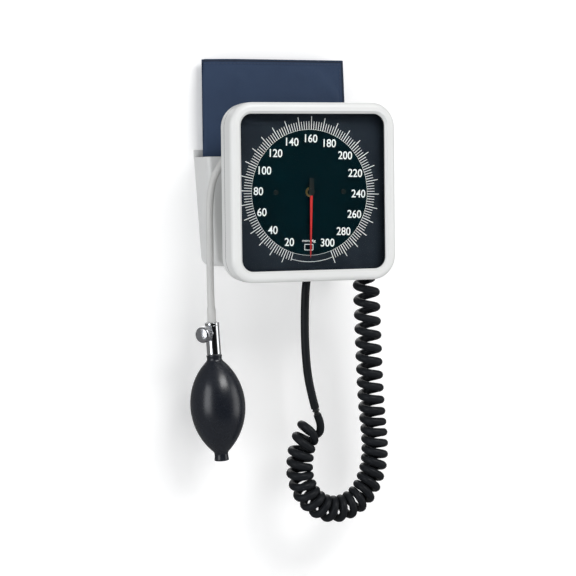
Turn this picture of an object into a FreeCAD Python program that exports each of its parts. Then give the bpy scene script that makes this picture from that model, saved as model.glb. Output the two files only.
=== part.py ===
import FreeCAD, Part
import math
import os
import re
import Sketcher

"""Wall-mounted aneroid sphygmomanometer with basket, cuff, inflation bulb and coiled hose.

Frame: +X to the user's right, -Y out from the wall towards the user, +Z up, in millimetres.
The origin is the centre of the four wall-screw holes on the back face of the basket, which is
also the height of the pointer's axis. "Depth" below is measured back from the bezel's front
plane towards the wall, so a depth d lies at y = d - reach.
"""

V = FreeCAD.Vector

# ---------------------------------------------------------------------------------------------
# Driving dimensions
# ---------------------------------------------------------------------------------------------

DIMENSIONS = [
    # gauge case
    ("reach", 100.0, "bezel front plane to the wall"),
    ("case_width", 165.0, "square gauge case, side"),
    ("case_corner", 23.0, "outer corner radius of the case"),
    ("bezel_depth", 17.0, "depth of the front bezel"),
    ("bezel_wall", 3.5, "side wall of the bezel"),
    ("bezel_lip", 3.5, "front lip that holds the lens"),
    ("bezel_round", 5.0, "rounding of the front outer edge"),
    ("lip_chamfer", 2.2, "bevel round the opening"),
    ("opening_width", 144.2, "square window, side"),
    ("opening_corner", 11.0, "corner radius of the window"),
    ("seam", 1.2, "case gasket, thickness"),
    ("seam_inset", 0.7, "rear shell and gasket sit in from the bezel by this"),
    ("shell_depth", 11.3, "depth of the rear shell"),
    ("shell_back", 2.5, "rear wall of the rear shell"),
    ("shell_round", 3.0, "rounding of the rear outer edge"),
    ("boss_place", 71.0, "case screws, distance from both centre lines"),
    ("boss_radius", 4.0, "screw boss radius"),
    ("boss_start", 14.0, "depth at which the bezel's bosses start"),
    ("screw_radius", 1.5, "case screw shank"),
    ("screw_hole", 1.6, "case screw hole"),
    ("screw_head", 2.9, "case screw head radius"),
    ("head_height", 1.8, "case screw head height"),
    ("slot_width", 0.8, "screwdriver slot of a case screw"),
    ("screw_reach", 14.5, "depth at which the case screws end"),
    # window stack
    ("lens_width", 152.0, "lens, side"),
    ("lens_corner", 13.0, "lens corner radius"),
    ("lens_thick", 2.0, "lens thickness"),
    ("lens_seal", 1.5, "lens gasket thickness"),
    ("seal_inner", 148.0, "lens gasket inner side"),
    ("spacer_outer", 157.4, "spacer frame outer side"),
    ("spacer_inner", 151.0, "spacer frame inner side"),
    ("dial_depth", 12.4, "depth of the dial's front face"),
    ("dial_thick", 1.0, "dial plate thickness"),
    ("dial_corner", 18.5, "dial plate corner radius"),
    ("dial_hole", 4.6, "hole in the middle of the dial"),
    ("screw_fit", 0.1, "clearance round a screw or stud, radial"),
    ("dial_screw_x", 34.0, "dial screws, distance from the centre"),
    ("dial_screw", 1.2, "dial screw shank radius"),
    ("dial_screw_head", 2.4, "dial screw head radius"),
    ("dial_head_height", 0.9, "dial screw head height"),
    ("dial_slot_deep", 0.4, "depth of a dial screw's slot"),
    ("dial_slot_width", 0.7, "width of a dial screw's slot"),
    # movement
    ("plate_width", 78.0, "movement plates, along X"),
    ("plate_height", 40.0, "movement plates, along Z"),
    ("plate_drop", 1.0, "plates' centre below the pointer axis"),
    ("plate_corner", 5.0, "movement plate corner radius"),
    ("plate_thick", 1.2, "movement plate thickness"),
    ("front_plate", 14.0, "depth of the front plate"),
    ("rear_plate", 22.5, "depth of the rear plate"),
    ("pillar_x", 34.0, "pillars, distance from the centre line"),
    ("pillar_z", 14.0, "pillars, distance from the plates' own centre line"),
    ("pillar_radius", 2.0, "pillar radius"),
    ("seat_radius", 3.2, "bosses on the rear shell that carry the rear plate"),
    ("jewel_radius", 1.5, "ring jewel, outer radius"),
    ("jewel_bore", 0.65, "ring jewel, bore radius"),
    ("arbor_radius", 0.6, "pointer and sector arbors"),
    ("gear_module", 0.5, "pinion and sector module"),
    ("pinion_teeth", 10, "teeth on the pinion"),
    ("sector_teeth", 100, "teeth of the sector's full circle"),
    ("tooth_top", 0.4, "tooth above the pitch circle"),
    ("tooth_foot", 0.65, "tooth below the pitch circle"),
    ("sector_drop", 5.5, "sector axis below the pointer axis"),
    ("sector_depth", 16.0, "depth of the sector's front face"),
    ("sector_thick", 1.2, "sector thickness"),
    ("sector_hub", 6.5, "sector hub radius"),
    ("pinion_depth", 15.7, "depth of the pinion's front face"),
    ("pinion_thick", 1.8, "pinion face width"),
    ("drive_reach", 5.0, "drive pin, distance from the sector axis"),
    ("drive_rise", 0.2, "drive pin above the sector axis"),
    ("drive_radius", 0.6, "drive pin radius"),
    ("slot_left", 20.4, "slot in the rear plate for the rocker's drive arm, left"),
    ("slot_right", 24.4, "slot for the drive arm, right"),
    ("slot_low", -8.0, "slot for the drive arm, bottom"),
    ("slot_high", -2.4, "slot for the drive arm, top"),
    ("spring_depth", 18.6, "depth of the hairspring's front edge"),
    ("spring_height", 1.2, "hairspring strip width"),
    ("spring_strip", 0.22, "hairspring strip thickness"),
    ("spring_inner", 2.5, "hairspring inner radius"),
    ("spring_pitch", 1.4, "distance between hairspring turns"),
    ("collet_radius", 2.0, "hairspring collet radius"),
    ("rocker_depth", 26.6, "depth of the rocker's axis"),
    ("rocker_drop", 4.0, "rocker axis below the pointer axis"),
    ("rocker_radius", 0.8, "rocker shaft radius"),
    ("rocker_fit", 0.05, "running clearance, radial"),
    ("rocker_left", -8.6, "rocker shaft, left end"),
    ("rocker_right", 26.0, "rocker shaft, right end"),
    ("lug_left", -8.0, "left lug, outer face"),
    ("lug_right", 25.6, "right lug, outer face"),
    ("lug_thick", 1.0, "lug thickness"),
    ("lug_half", 1.6, "half height of a lug"),
    ("lug_over", 1.5, "lug behind the rocker's axis"),
    ("arm_half", 0.6, "half thickness of the rocker's arms"),
    ("push_arm", 5.0, "arm that the capsule pushes"),
    ("push_width", 2.0, "width of that arm"),
    ("drive_arm", 9.0, "arm that drives the sector"),
    ("drive_left", 20.9, "left side of the drive arm"),
    ("drive_width", 3.0, "width of the drive arm"),
    # capsule
    ("can_radius", 30.0, "round housing of the capsule, outer"),
    ("can_inner", 27.0, "round housing of the capsule, inner"),
    ("can_back", 43.5, "depth of the housing's back face"),
    ("capsule_radius", 22.0, "capsule rim radius"),
    ("capsule_front", 31.0, "depth of the capsule's front face"),
    ("capsule_half", 4.0, "thickness of each half of the capsule"),
    ("capsule_flat", 9.0, "radius of the flat centre of each half"),
    ("capsule_wall", 0.5, "diaphragm thickness"),
    ("stud_radius", 3.0, "capsule stud radius"),
    ("push_tip", 27.35, "depth of the push pin's tip"),
    ("push_radius", 1.0, "push pin radius"),
    ("push_point", 0.25, "radius of the push pin's tip"),
    ("push_taper", 1.2, "length of the push pin's taper"),
    ("push_base", 3.0, "radius of the push pin's foot"),
    ("push_foot", 0.8, "thickness of the push pin's foot"),
    ("nut_height", 3.0, "capsule nut height"),
    ("nut_over", 2.2, "capsule nut, corner radius beyond the stud"),
    # pointer
    ("pointer_depth", 8.8, "depth of the pointer's front face"),
    ("pointer_thick", 0.5, "pointer thickness"),
    ("pointer_length", 60.7, "pointer, axis to tip"),
    ("pointer_root", 2.7, "pointer width near the hub"),
    ("pointer_tip", 1.0, "pointer width at the tip"),
    ("pointer_point", 3.0, "length of the pointer's pointed end"),
    ("hub_radius", 3.2, "pointer hub radius"),
    ("hub_front", 7.8, "depth of the hub's front face"),
    ("hub_cap", 0.4, "closed end of the hub in front of the arbor"),
    ("hub_depth", 2.6, "length of the pointer hub"),
    ("tail_length", 13.0, "counterweight, axis to end"),
    ("tail_width", 5.0, "counterweight width"),
    # gauge mount
    ("hub_mount", 22.0, "mounting hub radius"),
    ("hub_bore", 9.0, "mounting hub bore"),
    ("hub_bolts", 15.5, "hub screws, distance from the axis"),
    ("hub_screw", 2.0, "hub screw shank radius"),
    ("hub_screw_hole", 2.1, "hub screw hole radius"),
    ("hub_head", 3.8, "hub screw head radius"),
    ("hub_head_height", 2.2, "hub screw head height"),
    # basket
    ("basket_depth", 38.3, "basket front to the wall"),
    ("basket_top", 34.0, "height of the basket's rim"),
    ("basket_back", 41.0, "height of the back plate's top edge"),
    ("basket_base", 69.0, "bottom of the basket below the origin"),
    ("basket_wide", 82.0, "half width at the rim"),
    ("basket_narrow", 75.5, "half width at the bottom"),
    ("basket_wall", 2.5, "basket wall thickness"),
    ("basket_round", 9.0, "bottom corner radius"),
    ("basket_edge", 4.0, "rounding of the front edges"),
    ("inner_corner", 6.0, "cut corner inside the basket's foot"),
    ("inner_knee", 2.0, "the middle point of that corner, from the wall"),
    ("wall_hole_x", 60.0, "wall screws, distance from the centre line"),
    ("wall_hole_z", 25.0, "wall screws, distance above and below"),
    ("wall_hole", 2.5, "wall screw hole radius"),
    ("driver_hole", 5.5, "access hole for the screwdriver"),
    # cuff
    ("cuff_left", -75.3, "left edge of the folded cuff"),
    ("cuff_right", 62.7, "right edge of the folded cuff"),
    ("cuff_top", 125.5, "top edge of the folded cuff"),
    ("cuff_foot", -66.2, "foot of the folded cuff"),
    ("cuff_front", -25.0, "front face of the folded cuff"),
    ("cuff_thick", 20.0, "thickness of the folded cuff"),
    ("cuff_bend", 10.0, "height below which the cuff's left edge draws in"),
    ("cuff_knee", 14.0, "last bend of that edge above the foot"),
    ("cuff_draw", 5.0, "how far the edge draws in down to the last bend"),
    ("cuff_tuck", 9.0, "how far the edge draws in at the foot"),
    ("cuff_round", 6.0, "rounding of the fold at the top"),
    ("bladder_wide", 118.0, "bladder width"),
    ("bladder_tall", 150.0, "bladder height as folded"),
    ("bladder_thick", 3.0, "bladder thickness, flat"),
    ("bladder_cover", 3.0, "cover in front of the bladder"),
    ("bladder_foot", 20.0, "bladder room above the cuff's foot"),
    ("bladder_gap", 0.3, "clearance round the bladder"),
    ("patch_wide", 100.0, "hook-and-loop patches, width"),
    ("patch_tall", 55.0, "hook-and-loop patches, height"),
    ("patch_thick", 1.6, "hook-and-loop patches, thickness"),
    ("patch_drop", 70.0, "foot of the patch below the cuff's top"),
    ("collar_length", 7.0, "moulded collar round the start of a hose"),
    ("collar_foot", 3.0, "collar beyond the hose at its foot, radial"),
    ("collar_lip", 0.8, "collar beyond the hose at its mouth, radial"),
    ("flange_over", 5.0, "flange on the cuff's face beyond the hose, radial"),
    ("flange_thick", 1.2, "flange thickness"),
    ("flange_rise", 3.0, "flange centre above the start of the hose"),
    # hoses
    ("grey_hose_d", 6.8, "bulb hose diameter"),
    ("black_hose_d", 7.9, "cuff hose diameter"),
    ("coil_tube_d", 7.5, "coiled hose, tube diameter"),
    ("coil_outer_d", 25.0, "coiled hose, outer diameter of the coil"),
    ("barb_length", 12.0, "length of a barb inside a hose"),
    ("port_x", 70.0, "gauge port, X"),
    ("port_z", -58.0, "gauge port, Z"),
    ("port_depth", 43.0, "depth of the gauge port's barb"),
    ("port_radius", 4.4, "gauge port body radius"),
    ("port_neck", 3.15, "radius of the port where it goes through the shell"),
    ("port_inside", 2.0, "how far the port reaches into the case"),
    ("barb_inset", 1.5, "a barb is this much thinner than its hose, radial"),
    ("lead_top", -64.0, "height at which the coiled hose leaves the port"),
    ("coil_top", -78.0, "height at which the coil starts"),
    ("joiner_length", 6.3, "visible length of the hose connector"),
    ("joiner_collar", 3.0, "connector collar radius"),
    ("joiner_neck", 2.3, "connector neck radius"),
    ("joiner_tab", 3.5, "connector tab radius"),
    ("joiner_tab_thick", 1.1, "connector tab thickness"),
    ("joiner_lip", 2.9, "lip at the start of the coiled hose, radius"),
    ("joiner_barb", 2.2, "barb inside the coiled hose, radius"),
    ("joiner_reach", 9.0, "how far that barb reaches into the hose"),
    # valve and bulb, in their own frame: z = 0 at the valve's top face, -Z along the axis
    ("valve_radius", 6.6, "valve body radius"),
    ("valve_length", 30.3, "valve body length"),
    ("valve_spigot", 4.75, "spigot radius in the bulb's neck"),
    ("spigot_length", 13.0, "spigot length"),
    ("air_bore", 1.2, "air passage radius"),
    ("knob_height", -9.8, "height of the thumbscrew's axis"),
    ("knob_radius", 7.5, "thumbscrew knob radius"),
    ("knob_near", 10.2, "near face of the knob from the valve's axis"),
    ("knob_far", 19.4, "far face of the knob from the valve's axis"),
    ("knob_boss", 4.2, "boss round the thumbscrew's stem"),
    ("knob_gap", 0.6, "gap between the boss and the knob"),
    ("knob_dome", 1.5, "length of the knob's bevelled end"),
    ("knob_slope", 2.2, "how much that bevel draws in, radial"),
    ("knurl_radius", 0.6, "radius of a knurl groove"),
    ("knurl_out", 0.25, "groove centres beyond the knob's rim"),
    ("knurl_count", 24, "grooves round the knob"),
    ("valve_edge", 0.8, "bevel at both ends of the valve body"),
    ("stem_radius", 2.0, "thumbscrew stem radius"),
    ("stem_point", 0.6, "radius of the stem's tip"),
    ("stem_taper", 1.2, "length of the stem's taper"),
    ("stem_start", 1.0, "tip of the stem from the valve's axis"),
    ("stem_cover", 1.8, "end of the stem inside the knob, from its far face"),
    ("check_bore", 3.0, "bore of the check valve chambers"),
    ("check_room", 6.0, "length of the outlet check chamber"),
    ("seat_thick", 1.8, "outlet seat thickness"),
    ("rest_gap", 0.02, "gap under a disc or ball that rests on its seat"),
    ("disc_radius", 2.6, "outlet check disc radius"),
    ("disc_thick", 0.7, "outlet check disc thickness"),
    ("bulb_length", 100.0, "bulb length"),
    ("bulb_radius", 25.7, "bulb radius at its widest"),
    ("bulb_wide_at", 47.8, "widest point below the bulb's top"),
    ("bulb_neck", 7.05, "upper neck radius"),
    ("neck_length", 5.2, "upper neck length"),
    ("bulb_foot", 6.8, "lower neck radius"),
    ("foot_length", 8.0, "lower neck length"),
    ("bulb_wall", 2.6, "bulb wall thickness"),
    ("foot_bore", 4.5, "lower neck bore"),
    ("inlet_length", 11.0, "length of the inlet insert"),
    ("inlet_floor", 2.4, "floor of the inlet insert"),
    ("inlet_room", 6.6, "length of the ball's chamber"),
    ("ball_radius", 2.4, "inlet ball radius"),
    ("inlet_hole", 1.5, "air inlet hole radius"),
]

VALVE_TOP = V(-83.5, -46.5, -120.3)
VALVE_TILT = 3.6
KNOB_AZIMUTH = 216.0

GREY_ROUTE = [
    (-46.0, -28.2, 62.0), (-52.0, -41.0, 51.0), (-61.0, -50.0, 38.5), (-73.5, -51.5, 27.5),
    (-82.0, -49.0, 12.0), (-84.6, -47.2, -11.0), (-84.1, -46.3, -46.0), (-84.6, -46.7, -84.0),
    (-83.5, -46.5, -120.3),
]
BLACK_ROUTE = [
    (25.0, -28.9, 64.0), (25.0, -42.8, 51.5), (27.0, -49.5, 30.0), (29.5, -49.8, 0.0),
    (25.0, -50.0, -31.0), (15.0, -53.5, -60.0), (7.8, -56.4, -87.0), (6.2, -57.0, -115.0),
    (6.2, -57.0, -143.0), (8.0, -57.0, -169.0), (11.6, -57.0, -189.0), (16.0, -57.0, -205.0),
]
COIL_ROUTE = [
    (70.0, -57.0, -78.0), (71.2, -57.0, -118.0), (72.6, -57.0, -165.0), (74.6, -57.0, -208.0),
    (78.6, -57.0, -244.0), (75.5, -57.0, -269.0), (64.5, -57.0, -291.5), (45.0, -57.0, -303.0),
    (24.0, -57.0, -302.0), (7.0, -57.0, -289.0), (-0.5, -57.0, -268.5), (0.8, -57.0, -246.0),
    (8.5, -57.0, -223.5),
]
JOINER_TILT = 18.0
POINTER_SET = 1.4
FAR = 60.0
TAIL_END = V(18.6, -57.0, -223.5)

doc = FreeCAD.newDocument("WallSphygmomanometer")
sheet = doc.addObject("Spreadsheet::Sheet", "Dims")
for row, (alias, number, note) in enumerate(DIMENSIONS, start=1):
    sheet.set("A%d" % row, note)
    sheet.set("B%d" % row, str(number))
    sheet.setAlias("B%d" % row, alias)
doc.recompute()
ALIASES = set(alias for alias, number, note in DIMENSIONS)
NODES = []


# ---------------------------------------------------------------------------------------------
# Helpers
# ---------------------------------------------------------------------------------------------

def bound(expression):
    """The expression with every alias made a reference to the sheet."""
    def refer(match):
        word = match.group()
        return "Dims." + word if word in ALIASES else word
    return re.sub(r"[a-z]\w*", refer, str(expression))


def size(expression):
    """The expression's number, read through the sheet."""
    return float(sheet.evalExpression(bound(expression)))


def node(thing, label):
    """Name a finished sub-part. Its label names its file."""
    thing.Label = label
    NODES.append(thing)
    return thing


def place(thing, base, axis=(0, 0, 1)):
    """Turn a primitive's Z to the axis and bind its base point to the sheet."""
    thing.Placement = FreeCAD.Placement(V(0, 0, 0), FreeCAD.Rotation(V(0, 0, 1), V(*axis)))
    for letter, expression in zip("xyz", base):
        thing.setExpression("Placement.Base." + letter, bound(expression))
    return thing


def cylinder(radius, length, base, axis=(0, 0, 1)):
    thing = doc.addObject("Part::Cylinder", "Cylinder")
    thing.setExpression("Radius", bound(radius))
    thing.setExpression("Height", bound(length))
    return place(thing, base, axis)


def cone(radius, end_radius, length, base, axis=(0, 0, 1)):
    thing = doc.addObject("Part::Cone", "Cone")
    thing.setExpression("Radius1", bound(radius))
    thing.setExpression("Radius2", bound(end_radius))
    thing.setExpression("Height", bound(length))
    return place(thing, base, axis)


def box(length, width, height, base):
    thing = doc.addObject("Part::Box", "Box")
    thing.setExpression("Length", bound(length))
    thing.setExpression("Width", bound(width))
    thing.setExpression("Height", bound(height))
    return place(thing, base)


def ball(radius, base):
    thing = doc.addObject("Part::Sphere", "Sphere")
    thing.setExpression("Radius", bound(radius))
    return place(thing, base)


def fuse(*things):
    joined = doc.addObject("Part::MultiFuse", "Fuse")
    joined.Shapes = list(things)
    return joined


def cut(base, *tools):
    result = doc.addObject("Part::Cut", "Cut")
    result.Base = base
    result.Tool = tools[0] if len(tools) == 1 else fuse(*tools)
    return result


def group(things):
    joined = doc.addObject("Part::Compound", "Group")
    joined.Links = list(things)
    return joined


def drawn(label, shape):
    """A sub-part whose shape is worked out with Part's own functions."""
    thing = doc.addObject("Part::Feature", "Drawn")
    thing.Shape = shape
    return node(thing, label)


def new_body(label):
    return node(doc.addObject("PartDesign::Body", "Body"), label)


def sketch_on(body, role, offset="0"):
    """A sketch on one of the body's own origin planes, moved out along its normal."""
    sketch = body.newObject("Sketcher::SketchObject", "Sketch")
    plane = [f for f in body.Origin.OriginFeatures if f.Role == role][0]
    sketch.AttachmentSupport = [(plane, "")]
    sketch.MapMode = "FlatFace"
    sketch.setExpression("AttachmentOffset.Base.z", bound(offset))
    return sketch


def fix_point(sketch, geometry, end, x, y):
    """Bind one point of the sketch to two expressions."""
    for kind, expression in (("DistanceX", x), ("DistanceY", y)):
        index = sketch.addConstraint(Sketcher.Constraint(kind, geometry, end, size(expression)))
        sketch.setExpression("Constraints[%d]" % index, bound(expression))


def fix_radius(sketch, geometry, radius):
    index = sketch.addConstraint(Sketcher.Constraint("Radius", geometry, size(radius)))
    sketch.setExpression("Constraints[%d]" % index, bound(radius))


def draw_circle(sketch, x, y, radius):
    circle = Part.Circle(V(size(x), size(y), 0), V(0, 0, 1), size(radius))
    index = sketch.addGeometry(circle)
    fix_point(sketch, index, 3, x, y)
    fix_radius(sketch, index, radius)


def draw_outline(sketch, corners):
    """A closed outline of straight edges through corners given as pairs of expressions."""
    points = [V(size(x), size(y), 0) for x, y in corners]
    first = sketch.GeometryCount
    for start, end in zip(points, points[1:] + points[:1]):
        sketch.addGeometry(Part.LineSegment(start, end))
    for i, (x, y) in enumerate(corners):
        following = first + (i + 1) % len(corners)
        sketch.addConstraint(Sketcher.Constraint("Coincident", first + i, 2, following, 1))
        fix_point(sketch, first + i, 1, x, y)


def draw_rounded(sketch, width, height, radius, middle="0"):
    """A rectangle with round corners, centred on X = 0 and on the given height."""
    w, h, r, m = size(width) / 2, size(height) / 2, size(radius), size(middle)
    turns = [(w - r, m + h - r, 0), (r - w, m + h - r, 1), (r - w, m + r - h, 2), (w - r, m + r - h, 3)]
    first = sketch.GeometryCount
    for x, y, quarter in turns:
        circle = Part.Circle(V(x, y, 0), V(0, 0, 1), r)
        sketch.addGeometry(Part.ArcOfCircle(circle, quarter * math.pi / 2, (quarter + 1) * math.pi / 2))
    signs = [("", ""), ("-", ""), ("-", "-"), ("", "-")]
    for i, (across, up) in enumerate(signs):
        x = "%s((%s) / 2 - (%s))" % (across, width, radius)
        y = "(%s) + %s((%s) / 2 - (%s))" % (middle, up, height, radius)
        fix_point(sketch, first + i, 3, x, y)
        fix_radius(sketch, first + i, radius)
    arcs = [sketch.Geometry[first + i] for i in range(4)]
    for i in range(4):
        after = (i + 1) % 4
        index = sketch.addGeometry(Part.LineSegment(arcs[i].EndPoint, arcs[after].StartPoint))
        sketch.addConstraint(Sketcher.Constraint("Tangent", first + i, 2, index, 1))
        sketch.addConstraint(Sketcher.Constraint("Tangent", index, 2, first + after, 1))


def pad(body, sketch, length):
    """Pad along the sketch's normal: towards -Y from an XZ sketch."""
    feature = body.newObject("PartDesign::Pad", "Pad")
    feature.Profile = sketch
    feature.setExpression("Length", bound(length))
    doc.recompute()
    return feature


def pocket(body, sketch, length, towards_normal=False):
    """Pocket against the sketch's normal, or along it, and make sure that it cuts."""
    before = body.Shape.Volume
    feature = body.newObject("PartDesign::Pocket", "Pocket")
    feature.Profile = sketch
    feature.setExpression("Length", bound(length))
    feature.Reversed = towards_normal
    doc.recompute()
    if not feature.Shape.Volume < before - 1e-6:
        raise RuntimeError("a pocket of %s cuts nothing" % body.Label)
    return feature


def revolve(body, sketch, axis="V_Axis"):
    feature = body.newObject("PartDesign::Revolution", "Revolution")
    feature.Profile = sketch
    feature.ReferenceAxis = (sketch, [axis])
    feature.Angle = 360.0
    doc.recompute()
    return feature


def dress(body, kind, base, test, amount):
    """Fillet or chamfer those edges of a feature whose centre of mass passes the test."""
    names = ["Edge%d" % (i + 1) for i, edge in enumerate(base.Shape.Edges) if test(edge)]
    feature = body.newObject("PartDesign::" + kind, kind)
    feature.Base = (base, names)
    feature.setExpression("Radius" if kind == "Fillet" else "Size", bound(amount))
    doc.recompute()
    return feature


def wall_at(depth):
    """The y of a depth, as an expression."""
    return "(%s) - reach" % depth


def out_at(depth):
    """The offset of an XZ sketch at a depth, as an expression."""
    return "reach - (%s)" % depth


def slab(label, width, height, radius, back, thick, middle="0"):
    """A body that is one padded rounded rectangle, its back face at a depth."""
    body = new_body(label)
    sketch = sketch_on(body, "XZ_Plane", out_at(back))
    draw_rounded(sketch, width, height, radius, middle)
    pad(body, sketch, thick)
    return body


def bore_holes(body, back, depth, holes):
    """Pocket round holes, given as x, z and radius, forwards from a depth."""
    sketch = sketch_on(body, "XZ_Plane", out_at(back))
    for x, z, radius in holes:
        draw_circle(sketch, x, z, radius)
    pocket(body, sketch, depth, towards_normal=True)


def four_corners(across, up):
    return [(sx + across, sz + up) for sx in ("", "-") for sz in ("", "-")]


def hub_places():
    """The four hub screws, on a circle at 45 degrees to the axes."""
    return four_corners("hub_bolts * sqrt(0.5)", "hub_bolts * sqrt(0.5)")


def routed(points):
    """Straight runs joined by tangent arcs, with the radius that each pair of runs allows."""
    corners = [V(*p) for p in points]
    edges = []
    radii = []
    reached = corners[0]
    for before, corner, after in zip(corners, corners[1:], corners[2:]):
        run_in, run_out = corner - before, after - corner
        turn = run_in.getAngle(run_out)
        share = 0.45 * min(run_in.Length, run_out.Length)
        radii.append(share / math.tan(turn / 2))
        start = corner - run_in.normalize() * share
        end = corner + run_out.normalize() * share
        to_middle = (start + end) * 0.5 - corner
        inset = radii[-1] / math.cos(turn / 2) - radii[-1]
        middle = corner + to_middle.normalize() * inset
        edges.append(Part.LineSegment(reached, start).toShape())
        edges.append(Part.Arc(start, middle, end).toShape())
        reached = end
    edges.append(Part.LineSegment(reached, corners[-1]).toShape())
    return Part.Wire(edges), radii


def hose(label, points, diameter):
    """A plain round solid along a route, with its radii and volume printed."""
    path, radii = routed(points)
    first = V(*points[0])
    along = V(*points[1]) - first
    section = Part.Wire([Part.makeCircle(diameter / 2, first, along)])
    solid = path.makePipeShell([section], True, False)
    expected = path.Length * math.pi * diameter ** 2 / 4
    print("%s: length %.1f, tightest radius %.1f, volume ratio %.4f, radii %s" % (
        label, path.Length, min(radii), solid.Volume / expected, [round(r) for r in radii]))
    return drawn(label, solid)


# ---------------------------------------------------------------------------------------------
# Gauge case
# ---------------------------------------------------------------------------------------------

def front_bezel():
    body = new_body("front_bezel")
    outline = sketch_on(body, "XZ_Plane", out_at("bezel_depth"))
    draw_rounded(outline, "case_width", "case_width", "case_corner")
    block = pad(body, outline, "bezel_depth")
    front = -size("reach")
    dress(body, "Fillet", block, lambda e: abs(e.CenterOfMass.y - front) < 0.01, "bezel_round")
    hollow = sketch_on(body, "XZ_Plane", out_at("bezel_depth"))
    inner = "case_width - 2 * bezel_wall"
    draw_rounded(hollow, inner, inner, "case_corner - bezel_wall")
    pocket(body, hollow, "bezel_depth - bezel_lip", towards_normal=True)
    window = sketch_on(body, "XZ_Plane", out_at("bezel_depth"))
    draw_rounded(window, "opening_width", "opening_width", "opening_corner")
    opened = pocket(body, window, "bezel_depth", towards_normal=True)
    reach = size("opening_width / 2") + 0.01

    def round_window(edge):
        box_ = edge.BoundBox
        inside = max(abs(box_.XMin), abs(box_.XMax), abs(box_.ZMin), abs(box_.ZMax)) < reach
        return inside and abs(edge.CenterOfMass.y - front) < 0.01
    dress(body, "Chamfer", opened, round_window, "lip_chamfer")
    bosses = sketch_on(body, "XZ_Plane", out_at("bezel_depth"))
    for x, z in four_corners("boss_place", "boss_place"):
        draw_circle(bosses, x, z, "boss_radius")
    pad(body, bosses, "bezel_depth - boss_start")
    holes = [(x, z, "screw_hole") for x, z in four_corners("boss_place", "boss_place")]
    bore_holes(body, "bezel_depth", "bezel_depth - boss_start", holes)


def window_stack():
    slab("lens", "lens_width", "lens_width", "lens_corner", "bezel_lip + lens_thick", "lens_thick")
    seal = slab("lens_gasket", "lens_width", "lens_width", "lens_corner",
                "bezel_lip + lens_thick + lens_seal", "lens_seal")
    opening = sketch_on(seal, "XZ_Plane", out_at("bezel_lip + lens_thick + lens_seal"))
    draw_rounded(opening, "seal_inner", "seal_inner", "opening_corner + 1")
    pocket(seal, opening, "lens_seal", towards_normal=True)
    start = "bezel_lip + lens_thick + lens_seal"
    spacer = slab("dial_spacer", "spacer_outer", "spacer_outer", "dial_corner",
                  "dial_depth", "dial_depth - (%s)" % start)
    opening = sketch_on(spacer, "XZ_Plane", out_at("dial_depth"))
    draw_rounded(opening, "spacer_inner", "spacer_inner", "dial_corner - 3")
    pocket(spacer, opening, "dial_depth - (%s)" % start, towards_normal=True)


def dial():
    plate = slab("dial_plate", "spacer_outer", "spacer_outer", "dial_corner",
                 "dial_depth + dial_thick", "dial_thick")
    holes = [("0", "0", "dial_hole"), ("dial_screw_x", "0", "dial_screw + screw_fit"),
             ("-dial_screw_x", "0", "dial_screw + screw_fit")]
    bore_holes(plate, "dial_depth + dial_thick", "dial_thick", holes)
    screws = []
    for x in ("dial_screw_x", "-dial_screw_x"):
        head = cylinder("dial_screw_head", "dial_head_height",
                        (x, wall_at("dial_depth - dial_head_height"), "0"), (0, 1, 0))
        shank = cylinder("dial_screw", "front_plate + plate_thick - dial_depth",
                         (x, wall_at("dial_depth"), "0"), (0, 1, 0))
        slot = box("2 * dial_screw_head", "dial_slot_deep", "dial_slot_width",
                   (x + " - dial_screw_head", wall_at("dial_depth - dial_head_height"),
                    "-dial_slot_width / 2"))
        screws.append(cut(fuse(head, shank), slot))
    node(group(screws), "dial_screws")


def rear_shell():
    back = "bezel_depth + seam + shell_depth"
    gasket_width = "case_width - 2 * seam_inset - 0.6"
    seal = slab("case_gasket", gasket_width, gasket_width, "case_corner - 1", "bezel_depth + seam", "seam")
    opening = sketch_on(seal, "XZ_Plane", out_at("bezel_depth + seam"))
    draw_rounded(opening, "case_width - 2 * bezel_wall", "case_width - 2 * bezel_wall",
                 "case_corner - bezel_wall")
    pocket(seal, opening, "seam", towards_normal=True)
    body = new_body("rear_shell")
    outline = sketch_on(body, "XZ_Plane", out_at(back))
    width = "case_width - 2 * seam_inset"
    draw_rounded(outline, width, width, "case_corner - seam_inset")
    block = pad(body, outline, "shell_depth")
    rear = size(wall_at(back))
    dress(body, "Fillet", block, lambda e: abs(e.CenterOfMass.y - rear) < 0.01, "shell_round")
    hollow = sketch_on(body, "XZ_Plane", out_at(back + " - shell_back"))
    inner = "case_width - 2 * seam_inset - 2 * bezel_wall"
    draw_rounded(hollow, inner, inner, "case_corner - bezel_wall")
    pocket(body, hollow, "shell_depth - shell_back", towards_normal=True)
    can = sketch_on(body, "XZ_Plane", out_at("can_back"))
    draw_circle(can, "0", "0", "can_radius")
    pad(body, can, "can_back - (%s) + shell_back" % back)
    bore_holes(body, "can_back - shell_back", "can_back - shell_back - bezel_depth", [("0", "0", "can_inner")])
    bosses = sketch_on(body, "XZ_Plane", out_at(back + " - shell_back"))
    for x, z in four_corners("boss_place", "boss_place"):
        draw_circle(bosses, x, z, "boss_radius")
    pad(body, bosses, "shell_depth - shell_back")
    seats = sketch_on(body, "XZ_Plane", out_at(back + " - shell_back"))
    for x, z in four_corners("pillar_x", "pillar_z"):
        draw_circle(seats, x, z + " - plate_drop", "seat_radius")
    pad(body, seats, "(%s) - shell_back - rear_plate - plate_thick" % back)
    holes = [(x, z, "screw_hole") for x, z in four_corners("boss_place", "boss_place")]
    holes.append(("port_x", "port_z", "port_neck + screw_fit / 2"))
    bore_holes(body, back, "shell_depth", holes)
    mount = [("0", "0", "stud_radius + screw_fit")]
    mount += [(x, z, "hub_screw_hole") for x, z in hub_places()]
    bore_holes(body, "can_back", "shell_back", mount)


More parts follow.
